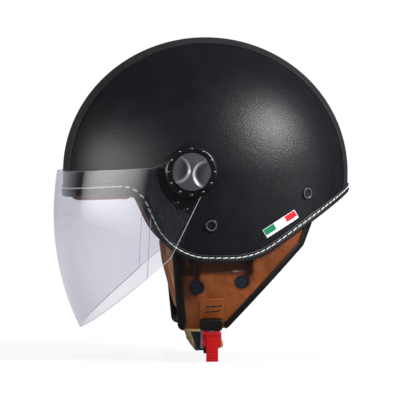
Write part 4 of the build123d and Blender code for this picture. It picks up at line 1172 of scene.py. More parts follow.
@dataclass
class LeatherCover:
    """Centre band and side panels of grained leather, with a raised seam between them."""

    leather: float = 1.2 * MM
    band_half: float = 33.0 * MM
    seam_radius: float = 1.05 * MM
    edge_offset: float = 1.5 * MM
    columns: int = 288
    rows: int = 80
    seam_start: float = -14.0
    seam_span: float = 208.0
    seam_clear: float = 5 * MM
    seam_gap: float = 0.8 * MM
    seam_stations: int = 200
    seam_rounds: int = 16

    def dome(self) -> Mesh:
        """The form's surface above the rim.

        Returns:
            An open sheet that faces outwards.
        """
        turns = FORM.rim_turns(self.columns, self.edge_offset)
        slopes = [FORM.rim_slope(turn, self.edge_offset, 0.0) for turn in turns]

        def place(i: int, j: int) -> Vector:
            """Point over the rim's station i, row j towards the crown."""
            share = (j / self.rows) ** 1.1
            slope = slopes[i] + (math.pi / 2 - slopes[i]) * share
            return FORM.polar(turns[i], slope, 0.0)

        return facing_out(mapped_grid(self.columns, self.rows, place))

    def panel(self, low: float | None, high: float | None) -> Mesh:
        """The part of the cover between two planes across the head.

        Args:
            low: Place of the first plane, or none.
            high: Place of the second plane, or none.

        Returns:
            Its mesh.
        """
        mesh = self.dome()
        for limit, way in ((low, -1), (high, 1)):
            if limit is not None:
                geometry = mesh.verts[:] + mesh.edges[:] + mesh.faces[:]
                bmesh.ops.bisect_plane(mesh, geom=geometry, dist=1e-6, plane_co=(0, limit, 0),
                                       plane_no=(0, way, 0), clear_outer=True)
        return thickened(mesh, self.leather)

    def seam(self, side: Side) -> Mesh:
        """Piped seam over the crown, from brow trim to nape trim.

        Args:
            side: Side of the head.

        Returns:
            Its mesh.
        """
        y = self.band_half
        shrink = math.sqrt(1 - (y / FORM.half_width) ** 2)
        line = []
        for k in range(181):
            turn = math.radians(self.seam_start + self.seam_span * k / 180)
            reach = FORM.crown if turn > 0 and turn < math.pi else FORM.skirt
            point = Vector((FORM.half_length * shrink * math.cos(turn), y, reach * shrink * math.sin(turn)))
            if point.z > FORM.rim_height(point.x, self.seam_clear):
                line.append(point)
        line = resampled(line, self.seam_stations + 1)

        def place(i: int, j: int) -> Vector:
            """Point on the piping's round j at station i."""
            point = line[i]
            out = FORM.normal(point)
            turn = math.tau * j / self.seam_rounds
            spot = point + out * (self.seam_radius * (math.sin(turn) - 0.1))
            spot = spot + Vector((0, self.seam_radius * math.cos(turn), 0))
            return Vector((spot.x, spot.y * side.value, spot.z))

        return capped(mapped_grid(self.seam_stations, self.seam_rounds, place))

    def build(self, bench: Bench) -> None:
        """Makes the cover's pieces.

        Args:
            bench: Where pieces are made.
        """
        inner = self.band_half - self.seam_gap
        outer = self.band_half + self.seam_gap
        bench.piece(self.panel(-inner, inner), "band_leather", bench.finish.band_leather,
                    replaces=["leather_centre_band"])
        bench.piece(self.panel(outer, None), "panel_leather_right", bench.finish.black_leather,
                    replaces=["leather_panel_right"])
        bench.piece(self.panel(None, -outer), "panel_leather_left", bench.finish.black_leather,
                    replaces=["leather_panel_left"])
        for side in Side:
            bench.piece(self.seam(side), f"seam_piping_{side.word}", bench.finish.trim_leather,
                        replaces=[f"welt_{side.word}"])
        bench.dress("outer_shell", bench.finish.shell)
        bench.dress("impact_foam", bench.finish.foam)


@dataclass
class RimTrim:
    """Leather folded round the rim and sewn with pale thread."""

    stations: int = 480
    stitch_length: float = 5.3 * MM
    stitch_pitch: float = 6.2 * MM
    stitch_radius: float = 0.42 * MM
    # Height, sink and radius in millimetres of the grey round that paints a highlight along the trim's upper
    # fold.
    piping: Triple = (7.15, 0.85, 0.34)
    stitch_height: float = 5.0
    profile: Profile = (
        (7.3, 0.15), (7.3, 0.75), (6.9, 1.15), (6.2, 1.15), (5.6, 0.85), (5.0, 0.62), (4.5, 0.8), (3.9, 1.25),
        (2.8, 1.6), (1.6, 1.55), (0.7, 1.2), (0.15, 0.6), (0.0, -0.2), (0.0, -4.3), (0.25, -5.1), (0.9, -5.6),
        (2.0, -5.75), (7.3, -5.75), (7.3, -4.6), (1.7, -4.55), (1.35, -4.2), (1.35, -0.1), (1.6, 0.15))

    def __post_init__(self) -> None:
        """Works out the frame at each station of the rim."""
        turns = FORM.rim_turns(self.stations, 0.0)
        points = [FORM.at_rim(turn, 0.0, 0.0) for turn in turns]
        self.frames = []
        for k, point in enumerate(points):
            before = points[k - 1] if k else points[-2]
            after = points[k + 1] if k < self.stations else points[1]
            along = (after - before).normalized()
            out = FORM.normal(point)
            up = out.cross(along).normalized()
            if up.z < 0:
                up = -up
            self.frames.append((point, along, up, out))

    @staticmethod
    def lift(x: float) -> float:
        """How much taller the trim is at a place, as over the brow."""
        return 1 + 0.55 * smooth_step((-0.055 - x) / 0.018)

    def on_trim(self, station: float, height: float, out: float) -> tuple[Vector, ...]:
        """A point by the trim and the directions there.

        Args:
            station: Station along the rim, with its fraction.
            height: Millimetres up from the edge.
            out: Millimetres out from the leather.

        Returns:
            The point and the directions along, up and out.
        """
        k = int(station) % self.stations
        share = station - int(station)
        start, end = self.frames[k], self.frames[k + 1]
        point, along, up, away = (start[m].lerp(end[m], share) for m in range(4))
        spot = point + up * (height * self.lift(point.x) * MM)
        if height > 0:
            level = FORM.normal(spot)
            drop = spot.x**2 / FORM.half_length**2 + spot.y**2 / FORM.half_width**2
            reach = FORM.crown if spot.z > 0 else FORM.skirt
            spot = spot * (1 / math.sqrt(drop + spot.z**2 / reach**2))
            away = level
        return spot + away * (out * MM), along, up, away

    def channel(self) -> Mesh:
        """The folded leather.

        Returns:
            Its mesh.
        """
        count = len(self.profile)

        def place(i: int, j: int) -> Vector:
            """Profile point j at station i."""
            height, out = self.profile[j % count]
            return self.on_trim(i % self.stations, height, out)[0]

        return closed_grid(self.stations, count, place)

    def stitches(self) -> Mesh:
        """Pale thread along the trim, a short round run at a time.

        Returns:
            Its mesh.
        """
        mesh = bmesh.new()
        length = sum((b[0] - a[0]).length for a, b in zip(self.frames, self.frames[1:]))
        count = round(length / self.stitch_pitch)
        for k in range(count):
            station = self.stations * k / count
            spot, along, up, out = self.on_trim(station, self.stitch_height, 1.0)
            brow = smooth_step((-0.045 - spot.x) / 0.02)
            tilt = along + up * 0.08
            place = axes_matrix(tilt.normalized(), up, out, spot + out * (0.3 * MM * brow))
            thread_run(mesh, place, self.stitch_length, self.stitch_radius * (1 + 0.7 * brow))
        return mesh

    def piping_round(self) -> Mesh:
        """Thin grey round along the fold's upper edge, a painted highlight on that edge, showing from the
        flap backwards.

        Returns:
            Its mesh.
        """
        height, sink, radius = self.piping
        rounds = 8

        def place(i: int, j: int) -> Vector:
            """Point j round the piping at station i."""
            spot, _, up, out = self.on_trim(i % self.stations, height, sink)
            turn = math.tau * j / rounds
            wide = radius * (0.35 + 0.65 * smooth_step((spot.x - 0.008) / 0.02)) * MM
            return spot + (up * math.cos(turn) + out * math.sin(turn)) * wide

        return closed_grid(self.stations, rounds, place)

    def build(self, bench: Bench) -> None:
        """Makes the trim's pieces.

        Args:
            bench: Where pieces are made.
        """
        bench.piece(self.piping_round(), "rim_piping", bench.finish.piping, sharp=80)
        bench.piece(self.channel(), "rim_leather", bench.finish.trim_leather, replaces=["rim_trim"], sharp=55)
        bench.piece(self.stitches(), "rim_stitches", bench.finish.white_thread, sharp=80)


@dataclass
class Interior:
    """Comfort liner, brow pad and neck roll."""

    columns: int = 192
    rows: int = 72
    liner_offset: float = 14 * MM
    liner_faces: Pair = (26.65 * MM, 32.4 * MM)
    roll_faces: Pair = (6.2, 32.3)
    roll_top: float = 13.7
    roll_spaces: int = 120
    roll_rounds: int = 28
    brow_turns: Pair = (112.0, 248.0)
    nape_turns: Pair = (-32.0, 32.0)
    nape_low: float = 0.8

    def liner(self) -> Mesh:
        """Quilted dome inside the foam.

        Returns:
            Its mesh.
        """
        outer, inner = self.liner_faces
        turns = FORM.rim_turns(self.columns, self.liner_offset)
        low = [FORM.rim_slope(turn, self.liner_offset, outer) for turn in turns]
        half = self.rows // 2

        def place(i: int, j: int) -> Vector:
            """Outer face up to half the rows, then back down the inner face."""
            share = min(j, self.rows - j) / half
            slope = low[i] + (math.pi / 2 - low[i]) * share
            if j <= half:
                return FORM.polar(turns[i], slope, outer)
            channels = abs(math.sin(turns[i] * 6)) ** 0.5 * abs(math.sin(share * math.pi * 4)) ** 0.5
            edge = smooth_step(share / 0.04)
            depth = outer + (inner - outer) * (0.55 + 0.45 * channels) * edge
            return FORM.polar(turns[i], slope, depth)

        return closed_grid(self.columns, self.rows, place)

    def roll(self, ends: Pair, low: Callable[[float], float]) -> Mesh:
        """A padded roll between shell and head along part of the rim.

        Args:
            ends: First and last turn round the head, in degrees.
            low: Lower offset from the rim in millimetres at a place from front to back.

        Returns:
            The closed roll.
        """
        spaces = self.roll_spaces
        turns = FORM.rim_turns(spaces, 0.0, math.radians(ends[0]), math.radians(ends[1]))
        outer, inner = self.roll_faces

        def place(i: int, j: int) -> Vector:
            """Point j round the roll at station i."""
            turn = math.tau * j / self.roll_rounds
            close = min(i, spaces - i) / spaces
            swell = 0.82 + 0.18 * math.sqrt(smooth_step(close / 0.05))
            across = signed_power(math.cos(turn), 0.55) * swell
            lift = signed_power(math.sin(turn), 0.7) * swell
            depth = (outer + inner) / 2 + (inner - outer) / 2 * across
            station = FORM.at_rim(turns[i], 0.0, depth * MM)
            bottom = low(station.x)
            offset = (self.roll_top + bottom) / 2 + (self.roll_top - bottom) / 2 * lift
            return FORM.at_rim(turns[i], round(offset * 2) / 2 * MM, depth * MM)

        return capped(mapped_grid(spaces, self.roll_rounds, place))

    def build(self, bench: Bench) -> None:
        """Makes the inside's pieces.

        Args:
            bench: Where pieces are made.
        """
        liner = bench.piece(self.liner(), "liner_quilt", bench.finish.liner_mesh, replaces=["comfort_liner"])

        brow = bench.piece(self.roll(self.brow_turns, self.brow_low), "brow_cushion", bench.finish.lining,
                           replaces=["brow_pad"])
        roll = bench.piece(self.roll(self.nape_turns, lambda x: self.nape_low), "neck_cushion",
                           bench.finish.lining, replaces=["neck_roll"])

    @staticmethod
    def brow_low(x: float) -> float:
        """Lower edge of the brow pad, which clears the visor's wings."""
        return -4.4 + 5.2 * smooth_step((x + 0.076) / 0.006)


@dataclass(frozen=True)
class Crease:
    """A soft fold that runs up the flap's leather and fades out at its foot, in millimetres, as relief or
    painted shade.
    """

    amount: float
    x: float
    width: float
    foot: float
    fade: float

    def at(self, x: float, z: float) -> float:
        """The fold's amount at a place."""
        return self.amount * hump(x - self.x, self.width) * smooth_step((z - self.foot) / self.fade)


@dataclass
class EarFlap:
    """Brown leather flap with its binding, vents, keeper and pad."""

    side: Side
    corners: Profile = (
        (-35.5, -48.0), (-27.0, -141.6), (15.5, -140.2), (85.5, -64.5), (98.0, -32.0))
    radii: tuple[float, ...] = (0.0, 5.0, 9.0, 6.0, 0.0)
    outer: float = 5.95
    leather: float = 1.5
    sheet_cells: int = 110
    deepest: float = 2.1
    vents: Profile = ((-11.3, -102.7), (28.7, -98.0))
    vent_radius: float = 6.2
    pad_corners: Profile = (
        (-41.0, -57.0), (-37.0, -86.0), (-24.5, -132.0), (9.0, -133.0), (79.0, -66.0), (90.0, -42.0))
    pad_centre: Pair = (18.0, -86.0)
    pad_cells: tuple[int, int] = (144, 36)
    vent_cells: tuple[int, int] = (48, 6)
    toe: Pair = (-6.0, -140.9)
    folds: tuple[Crease, ...] = (
        Crease(-2.4, -11.7, 2.2, -104, 9), Crease(1.0, -18.5, 3.6, -114, 10), Crease(-1.5, 34, 2.4, -99, 8),
        Crease(1.7, 42, 4.2, -98, 12), Crease(-0.7, 51, 3.0, -96, 12))
    # Strips of painted shade along two of the creases.
    shades: tuple[Crease, ...] = (Crease(0.75, -11.0, 2.6, -108, 8), Crease(0.85, 34.5, 3.6, -106, 9))
    binding_shares: tuple[tuple[str, float], ...] = (("front", 0.9), ("back", 0.62))
    binding_stations: int = 120
    binding_section: Profile = (
        (7.3, 5.2), (7.2, 5.75), (0.4, 5.8), (-0.15, 6.2), (-0.15, 8.4), (0.4, 8.6), (5.5, 8.6), (5.5, 9.3),
        (4.9, 9.55), (0.2, 9.5), (-0.7, 9.0), (-1.15, 8.0), (-1.15, 6.3), (-0.7, 5.3), (0.2, 4.6), (1.6, 4.3),
        (3.4, 4.25), (5.2, 4.4), (6.6, 4.8))
    keeper_rows: tuple[tuple[Pair, Pair], ...] = (
        ((-3.8, -120.3), (11.5, -119.3)), ((-4.7, -125.3), (10.6, -123.9)))
    keeper_stitch: Pair = (5.0 * MM, 0.62 * MM)
    keeper_stitches: int = 3

    def __post_init__(self) -> None:
        """Splits the outline into its front and back edges."""
        outline = rounded_outline(self.corners, self.radii, closed=False)
        middle = Vector(self.toe)
        self.front = [point for point in outline if point.x < middle.x] + [middle]
        self.back = [middle] + [point for point in outline if point.x > middle.x]

    def edges_at(self, z: float) -> Pair:
        """Front and back edges of the flap at a level, in millimetres.

        Args:
            z: The level.

        Returns:
            The two edges.
        """
        front = np.interp(-z, [-p.y for p in self.front], [p.x for p in self.front])
        line = self.back[::-1]
        back = np.interp(-z, [-p.y for p in line], [p.x for p in line])
        return float(front), float(back)

    def relief(self, x: float, z: float) -> float:
        """How far the leather stands out at a place, in millimetres.

        Args:
            x: Place from front to back in millimetres.
            z: Level in millimetres.

        Returns:
            The relief.
        """
        under_rim = smooth_step((z + 89.5) / 3.5)
        rows = smooth_step((x + 10) / 4) * smooth_step((36 - x) / 5)
        value = -2.3 * under_rim * rows
        value += sum(fold.at(x, z) for fold in self.folds)
        value -= hump(x - 12, 14) * hump(z + 112, 9)
        for vx, vz in self.vents:
            reach = math.hypot(x - vx, z - vz)
            turn = math.atan2(z - vz, x - vx)
            pucker = math.cos(7 * turn + vx)
            value -= 1.6 * hump(reach - self.vent_radius, 4.0) * (0.72 + 0.28 * pucker)
            value += 0.45 * hump(reach - 12, 4.5) * pucker
        value += 1.1 * noise.noise(Vector((x / 15, z / 19, 3.0)))
        value += 0.3 * noise.noise(Vector((x / 4.5, z / 4.5, 8.0)))
        front, back = self.edges_at(z)
        inside = smooth_step((x - front - 4) / 5) * smooth_step((back - x - 4) / 6)
        value *= inside * smooth_step((z + 138) / 6)
        return value if value > 0 else -self.deepest * math.tanh(-value / self.deepest)

    def darkness(self, x: float, z: float) -> float:
        """How much painted shade the leather gets at a place, from 0 to 1.

        Args:
            x: Place from front to back in millimetres.
            z: Level in millimetres.

        Returns:
            The painted shade.
        """
        # Painted shadow under the rim, and painted shade along the creases, by the front edge, low at the
        # front and round the vents.
        value = 0.85 * smooth_step((z + 93.5) / 6) * (1 - 0.8 * smooth_step((x - 38) / 3))
        value += sum(shade.at(x, z) for shade in self.shades)
        value += 0.75 * smooth_step((-9 - x) / 4) * smooth_step((z + 122) / 14)
        value += 0.45 * smooth_step((-12 - x - (z + 141) * 0.4) / 9) * smooth_step((-118 - z) / 12)
        for vx, vz in self.vents:
            value += 0.35 * hump(math.hypot(x - vx, z - vz) - self.vent_radius, 1.6)
        return min(1.0, value)

    def mark_folds(self, sheet: bpy.types.Object) -> None:
        """Stores the painted shade of the flap's leather at each point, as its fold values.

        Args:
            sheet: The flap's leather.
        """
        fold = sheet.data.attributes.new("fold", "FLOAT", "POINT")
        for vert in sheet.data.vertices:
            fold.data[vert.index].value = self.darkness(vert.co.x / MM, vert.co.z / MM)

    def spot(self, x: float, z: float, depth: float) -> Vector:
        """Point over the flap at a place and depth in millimetres."""
        return FORM.side_point(x * MM, z * MM, depth * MM, self.side)

    def leather_sheet(self) -> Mesh:
        """The flap's leather.

        Returns:
            Its mesh.
        """
        cells = self.sheet_cells
        foot = self.toe[1]

        def place(i: int, j: int) -> Vector:
            """Column i from front to back, row j from under the rim to the foot."""
            u = i / cells
            top = -30.0
            for _ in range(12):
                front, back = self.edges_at(top)
                top = FORM.rim_height((front + (back - front) * u) * MM, 11.8 * MM) / MM
            share = 1 - (1 - j / cells) ** 1.35
            z = top + (foot - top) * share
            front, back = self.edges_at(z)
            x = front + (back - front) * u
            return self.spot(x, z, self.outer - self.relief(x, z))

        return thickened(facing_out(mapped_grid(cells, cells, place)), self.leather * MM)

    def binding(self, line: list[Vector], wide: float) -> Mesh:
        """Folded binding along an edge.

        Args:
            line: The edge in side view.
            wide: Share of the full width it reaches in over the flap.

        Returns:
            The closed binding.
        """
        spots = resampled(line, self.binding_stations + 1)
        ways = directions(spots)
        count = len(self.binding_section)

        def place(i: int, j: int) -> Vector:
            """Section point j at station i."""
            inward = Vector((-ways[i].y, ways[i].x))
            reach, depth = self.binding_section[j % count]
            spot = spots[i] + inward * (reach * wide if reach > 0.5 else reach)
            return self.spot(spot.x, spot.y, depth)

        return capped(mapped_grid(self.binding_stations, count, place))

    def pad(self) -> Mesh:
        """Puffed pad between the flap and the head.

        Returns:
            Its mesh.
        """
        loop = rounded_outline(self.pad_corners, [12.0] * len(self.pad_corners), closed=True, steps=8)
        columns, rows = self.pad_cells
        loop = resampled(loop + [loop[0]], columns + 1)
        centre = Vector(self.pad_centre)

        def place(i: int, j: int) -> Vector:
            """Row j from the middle of the outer face, round the edge, to the middle of the inner face."""
            turn = math.pi * (j / rows - 0.5)
            share = abs(math.cos(turn)) ** 0.42
            if j in (0, rows):
                share = 0.0
            bulge = signed_power(math.sin(turn), 0.75)
            depth = 15.6 + (5.2 if bulge < 0 else 5.6) * bulge
            edge = loop[i % columns]
            spot = centre + (edge - centre) * share
            puff = 0.7 * noise.noise(Vector((spot.x / 18, spot.y / 18, 5.0))) * max(0.0, bulge)
            return self.spot(spot.x, spot.y, depth + puff)

        return closed_grid(columns, rows, place)

    def vent_disc(self, vent: Pair) -> Mesh:
        """Mesh disc in a vent.

        Args:
            vent: The vent's middle in side view.

        Returns:
            Its mesh.
        """
        def place(i: int, j: int) -> Vector:
            """Ring j at angle i."""
            reach = (self.vent_radius - 0.12) * j / self.vent_cells[1]
            turn = math.tau * i / self.vent_cells[0]
            return self.spot(vent[0] + reach * math.cos(turn), vent[1] + reach * math.sin(turn), 7.9)

        return thickened(facing_out(mapped_grid(*self.vent_cells, place)), 0.5 * MM)

    def stitch_rows(self) -> Mesh:
        """Two rows of dark thread over the strap's keeper.

        Returns:
            Their mesh.
        """
        mesh = bmesh.new()
        low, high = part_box(f"strap_keeper_{self.side.word}")
        outer_top = max(abs(low.y), abs(high.y))
        foot = min(abs(low.y), abs(high.y)) + 1.2 * MM
        top_z, foot_z = high.z - 1.2 * MM, low.z
        for start, end in self.keeper_rows:
            for k in range(self.keeper_stitches):
                share = (k + 0.5) / self.keeper_stitches
                x = (start[0] + (end[0] - start[0]) * share) * MM
                z = (start[1] + (end[1] - start[1]) * share) * MM
                level = (z - foot_z) / (top_z - foot_z)
                y = self.side.value * (foot + (outer_top - foot) * level + 0.15 * MM)
                out = Vector((0, self.side.value, -0.25)).normalized()
                along = Vector((1, 0, 0.16)).normalized()
                place = axes_matrix(along, out.cross(along), out, Vector((x, y, z)))
                thread_run(mesh, place, *self.keeper_stitch)
        return mesh

    def build(self, bench: Bench) -> None:
        """Makes the flap's pieces.

        Args:
            bench: Where pieces are made.
        """
        word = self.side.word
        sheet = bench.piece(self.leather_sheet(), f"flap_leather_{word}", bench.finish.brown_leather,
                            replaces=[f"ear_flap_{word}"])
        cutters = []
        for x, z in self.vents:
            place = side_matrix(x, z, self.side) @ Matrix.Translation((0, 0, 0.1))
            cutters.append(disc(place, self.vent_radius * MM, 0.08, self.vent_cells[0]))
        bench.cut(sheet, cutters)
        self.mark_folds(sheet)
        front = [self.meeting(self.front), *(p for p in self.front if self.below_rim(p) and p.x < -19.5)]
        back = [*(p for p in self.back if self.below_rim(p) and p.x > 14), self.meeting(self.back[::-1])]
        for line, (place, wide) in zip((front, back), self.binding_shares):
            names = [f"flap_binding_{word}"] if place == "front" else []
            bench.piece(self.binding(line, wide), f"binding_{place}_{word}", bench.finish.binding,
                        replaces=names, sharp=50)
        for k, vent in enumerate(self.vents):
            names = [f"vent_mesh_{word}"] if k == 0 else []
            bench.piece(self.vent_disc(vent), f"vent_disc_{k + 1}_{word}", bench.finish.vent, replaces=names)
        pad = bench.piece(self.pad(), f"pad_leather_{word}", bench.finish.tan_leather,
                          replaces=[f"ear_pad_{word}"])
        bench.softened([f"strap_keeper_{word}"], f"keeper_leather_{word}", bench.finish.brown_leather,
                       "helmet", width=0.5 * MM)
        bench.piece(self.stitch_rows(), f"keeper_stitches_{word}", bench.finish.black_thread, sharp=80)

    @staticmethod
    def below_rim(point: Vector) -> bool:
        """Whether a place in side view lies under the rim."""
        return point.y < FORM.rim_height(point.x * MM, -0.3 * MM) / MM

    def meeting(self, line: Sequence[Vector]) -> Vector:
        """Where an edge, followed down from its top, comes out under the rim.

        Args:
            line: The edge, from its top.

        Returns:
            The place in side view.
        """
        last = line[0]
        for point in line:
            if self.below_rim(point):
                low, high = 0.0, 1.0
                for _ in range(20):
                    share = (low + high) / 2
                    if self.below_rim(last.lerp(point, share)):
                        high = share
                    else:
                        low = share
                return last.lerp(point, high)
            last = point
        return line[-1]


@dataclass
class Visor:
    """Clear shield whose flat wings turn on the side pivots."""

    pivot: Pair = (-17.8, 3.2)
    wing_radius: float = 17.6
    half_span: float = 116.6
    wall: float = 2.0
    boss_radius: float = 8.6
    crease_top: Pair = (-52.1, 6.4)
    crease_foot: Pair = (-57.6, -92.6)
    top_front: Pair = (-136.0, 1.0)
    tip: Pair = (-116.5, -142.4)
    heel: Pair = (-36.6, -75.5)
    heel_radius: float = 13.5
    nose: Triple = (-139.6, -38.0, 240.0)
    fold_share: float = 0.0014
    bead_radius: float = 0.18
    bead_sink: float = 0.09
    bead_stations: int = 600
    bead_rounds: int = 8
    fold_reach: Pair = (0.3, 0.9)
    round_runs: int = 24
    wing_columns: int = 44
    face_columns: int = 96
    rows: int = 64

    def tangent(self, start: Vector, side: int) -> Vector:
        """Where a line from a point touches the wing's round end.

        Args:
            start: The point.
            side: Over the end, as 1, or under it, as -1.

        Returns:
            The place in side view.
        """
        run = Vector(self.pivot) - start
        lift = math.asin(self.wing_radius / run.length) * side
        reach = math.sqrt(run.length**2 - self.wing_radius**2)
        return start + Matrix.Rotation(lift, 2) @ run.normalized() * reach

    def __post_init__(self) -> None:
        """Works out the upper and lower edges in side view."""
        pivot = Vector(self.pivot)
        top_touch = self.tangent(Vector(self.crease_top), 1)
        heel_touch = self.tangent(Vector(self.heel), -1)
        upper = [Vector(self.top_front) + (Vector(self.top_front) - Vector(self.crease_top)) * 0.2,
                 Vector(self.crease_top), top_touch]
        start = math.atan2(top_touch.y - pivot.y, top_touch.x - pivot.x)
        end = math.atan2(heel_touch.y - pivot.y, heel_touch.x - pivot.x)
        runs = self.round_runs
        upper += [self.on_round_end(start * (1 - k / runs)) for k in range(1, runs + 1)]
        lower = [self.on_round_end(end * k / runs) for k in range(runs + 1)]
        lower += corner_arc(heel_touch, Vector(self.heel), Vector(self.tip), self.heel_radius, 12)
        lower += [Vector(self.tip), Vector(self.tip) + Vector((-40.0, 0.0))]
        self.upper = sorted(upper, key=lambda p: p.x)
        self.lower = sorted(lower, key=lambda p: p.x)

    def on_round_end(self, turn: float) -> Vector:
        """Point of a wing's round end in side view, at an angle up from its back."""
        return Vector(self.pivot) + Matrix.Rotation(turn, 2) @ Vector((self.wing_radius, 0))

    def bow(self, nose: float, crease: float) -> float:
        """Radius of the face's curve between the creases, seen from above."""
        sagitta = crease - nose
        return (self.half_span**2 + sagitta**2) / (2 * sagitta)

    def section(self, z: float) -> Pair:
        """Nose and crease of the outer face at a level.

        Args:
            z: The level.

        Returns:
            The two places from front to back.
        """
        nose_x, level, radius = self.nose
        nose = nose_x + radius - math.sqrt(radius**2 - (z - level) ** 2)
        share = (z - self.crease_top[1]) / (self.crease_foot[1] - self.crease_top[1])
        return nose, self.crease_top[0] + share * (self.crease_foot[0] - self.crease_top[0])

    def across(self, u: float, z: float) -> Vector:
        """Point of the outer face.

        Args:
            u: From -2 at the left wing's end, over -1 and 1 at the creases, to 2 at the right wing's end.
            z: Level in millimetres.

        Returns:
            The point in millimetres.
        """
        nose, crease = self.section(z)
        if abs(u) > 1:
            share = abs(u) - 1
            end = self.pivot[0] + self.wing_radius
            return Vector((crease + (end - crease) * share, math.copysign(self.half_span, u), z))
        radius = self.bow(nose, crease)
        spread = math.asin(min(1.0, self.half_span / radius))
        if crease > nose + radius:
            spread = math.pi - spread
        turn = spread * u
        return Vector((nose + radius - radius * math.cos(turn), radius * math.sin(turn), z))

    def edge(self, u: float, line: Sequence[Vector], start: float) -> float:
        """Level at which a column meets an edge.

        Args:
            u: The column's place.
            line: The edge in side view.
            start: Level to look from.

        Returns:
            The level.
        """
        xs = [p.x for p in line]
        zs = [p.y for p in line]
        z = start
        for _ in range(30):
            z = 0.5 * z + 0.5 * float(np.interp(self.across(u, z).x, xs, zs))
        return z

    def shares(self, creases: Sequence[float]) -> list[float]:
        """Places of the columns over the shield, as across() counts them.

        Args:
            creases: Places of the columns at the left crease.

        Returns:
            Every column's place, from the left wing to the right.
        """
        half = [-2 + smooth_near_end(i / self.wing_columns) for i in range(self.wing_columns)]
        half += creases
        half += [-1 + 2 * i / self.face_columns for i in range(1, self.face_columns // 2 + 1)]
        return half + [-u for u in reversed(half[:-1])]

    def sheet(self) -> Mesh:
        """The shield, two millimetres thick.

        Returns:
            Its mesh.
        """
        shares = self.shares([-1 - self.fold_share, -1 + self.fold_share])
        ends = [(u, self.edge(u, self.upper, 0.0), self.edge(u, self.lower, -60.0)) for u in shares]

        def place(i: int, j: int) -> Vector:
            """Column i from left wing to right wing, row j from top to bottom."""
            u, top, foot = ends[i]
            return self.across(u, top + (foot - top) * j / self.rows) * MM

        mesh = mapped_grid(len(shares) - 1, self.rows, place)
        return thickened(facing_out(mesh, Vector((0, 0, -0.05))), self.wall * MM)

    def bright_edges(self, shield: bpy.types.Object, edge: bpy.types.Material,
                     fold: bpy.types.Material) -> None:
        """Gives the shield's sawn edges a painted highlight, as light gathers there, and its fold lines
        painted shade.

        Args:
            shield: The shield.
            edge: Finish of the edges, a painted highlight.
            fold: Finish of the fold lines, painted shade.
        """
        first = len(shield.data.materials)
        reach, width = self.fold_reach
        shield.data.materials.append(edge)
        shield.data.materials.append(fold)
        for polygon in shield.data.polygons:
            nose, crease = self.section(polygon.center.z / MM)
            xs = [shield.data.vertices[v].co.x for v in polygon.vertices]
            narrow = max(xs) - min(xs) < width * MM
            if abs(polygon.center.x / MM - crease) < reach and narrow and abs(polygon.normal.y) > 0.8:
                polygon.material_index = first + 1
                continue
            if polygon.center.x > crease * MM:
                out = Vector((0, 1, 0))
            else:
                middle = (nose + self.bow(nose, crease)) * MM
                out = Vector((polygon.center.x - middle, polygon.center.y, 0)).normalized()
            if abs(polygon.normal.dot(out)) < 0.5:
                polygon.material_index = first

    def edge_bead(self) -> Mesh:
        """Pale round all along the shield's outer corner, a painted highlight where the light gathers.

        Returns:
            Its mesh.
        """
        shares = self.shares([-1.0])
        lower = [self.across(u, self.edge(u, self.lower, -60.0)) for u in shares]
        upper = [self.across(u, self.edge(u, self.upper, 0.0)) for u in reversed(shares)]
        count = self.bead_stations
        loop = resampled(lower + upper[1:], count + 1)

        def place(i: int, j: int) -> Vector:
            """Point j round the bead at station i."""
            along = (loop[(i + 1) % count] - loop[(i - 1) % count]).normalized()
            point = loop[i % count]
            crease = self.section(point.z)[1]
            inward = Vector((0, -point.y, 0))
            if point.x <= crease:
                inward = Vector((1, -point.y / self.half_span, 0))
            inward.normalize()
            over = along.cross(inward).normalized()
            turn = math.tau * j / self.bead_rounds
            ring = inward * math.cos(turn) + over * math.sin(turn)
            radius = self.bead_radius * (1 - 0.7 * smooth_step((point.z + 9.0) / 5.0))
            return (point + inward * self.bead_sink + ring * radius) * MM

        return closed_grid(count, self.bead_rounds, place)

    def build(self, bench: Bench) -> None:
        """Makes the shield and dresses its arm plates.

        Args:
            bench: Where pieces are made.
        """
        shield = bench.piece(self.sheet(), "shield", bench.finish.shield, "visor_swing", ["visor"], sharp=4)
        cutters = []
        for side in Side:
            place = side_matrix(*self.pivot, side) @ Matrix.Translation((0, 0, 0.116))
            cutters.append(disc(place, self.boss_radius * MM, 0.012, 64))
        bench.cut(shield, cutters, sharp=4)
        self.bright_edges(shield, bench.finish.shield_edge, bench.finish.shield_fold)
        bench.piece(self.edge_bead(), "shield_rim", bench.finish.shield_edge, "visor_swing", sharp=60)
        for side in Side:
            bench.softened([f"visor_arm_plate_{side.word}"], f"arm_plate_{side.word}",
                           bench.finish.arm_plastic, "visor_swing", width=0.35 * MM)
            bench.softened([f"visor_arm_rivets_{side.word}"], f"arm_rivets_{side.word}", bench.finish.rivet,
                           "visor_swing", width=0.15 * MM)


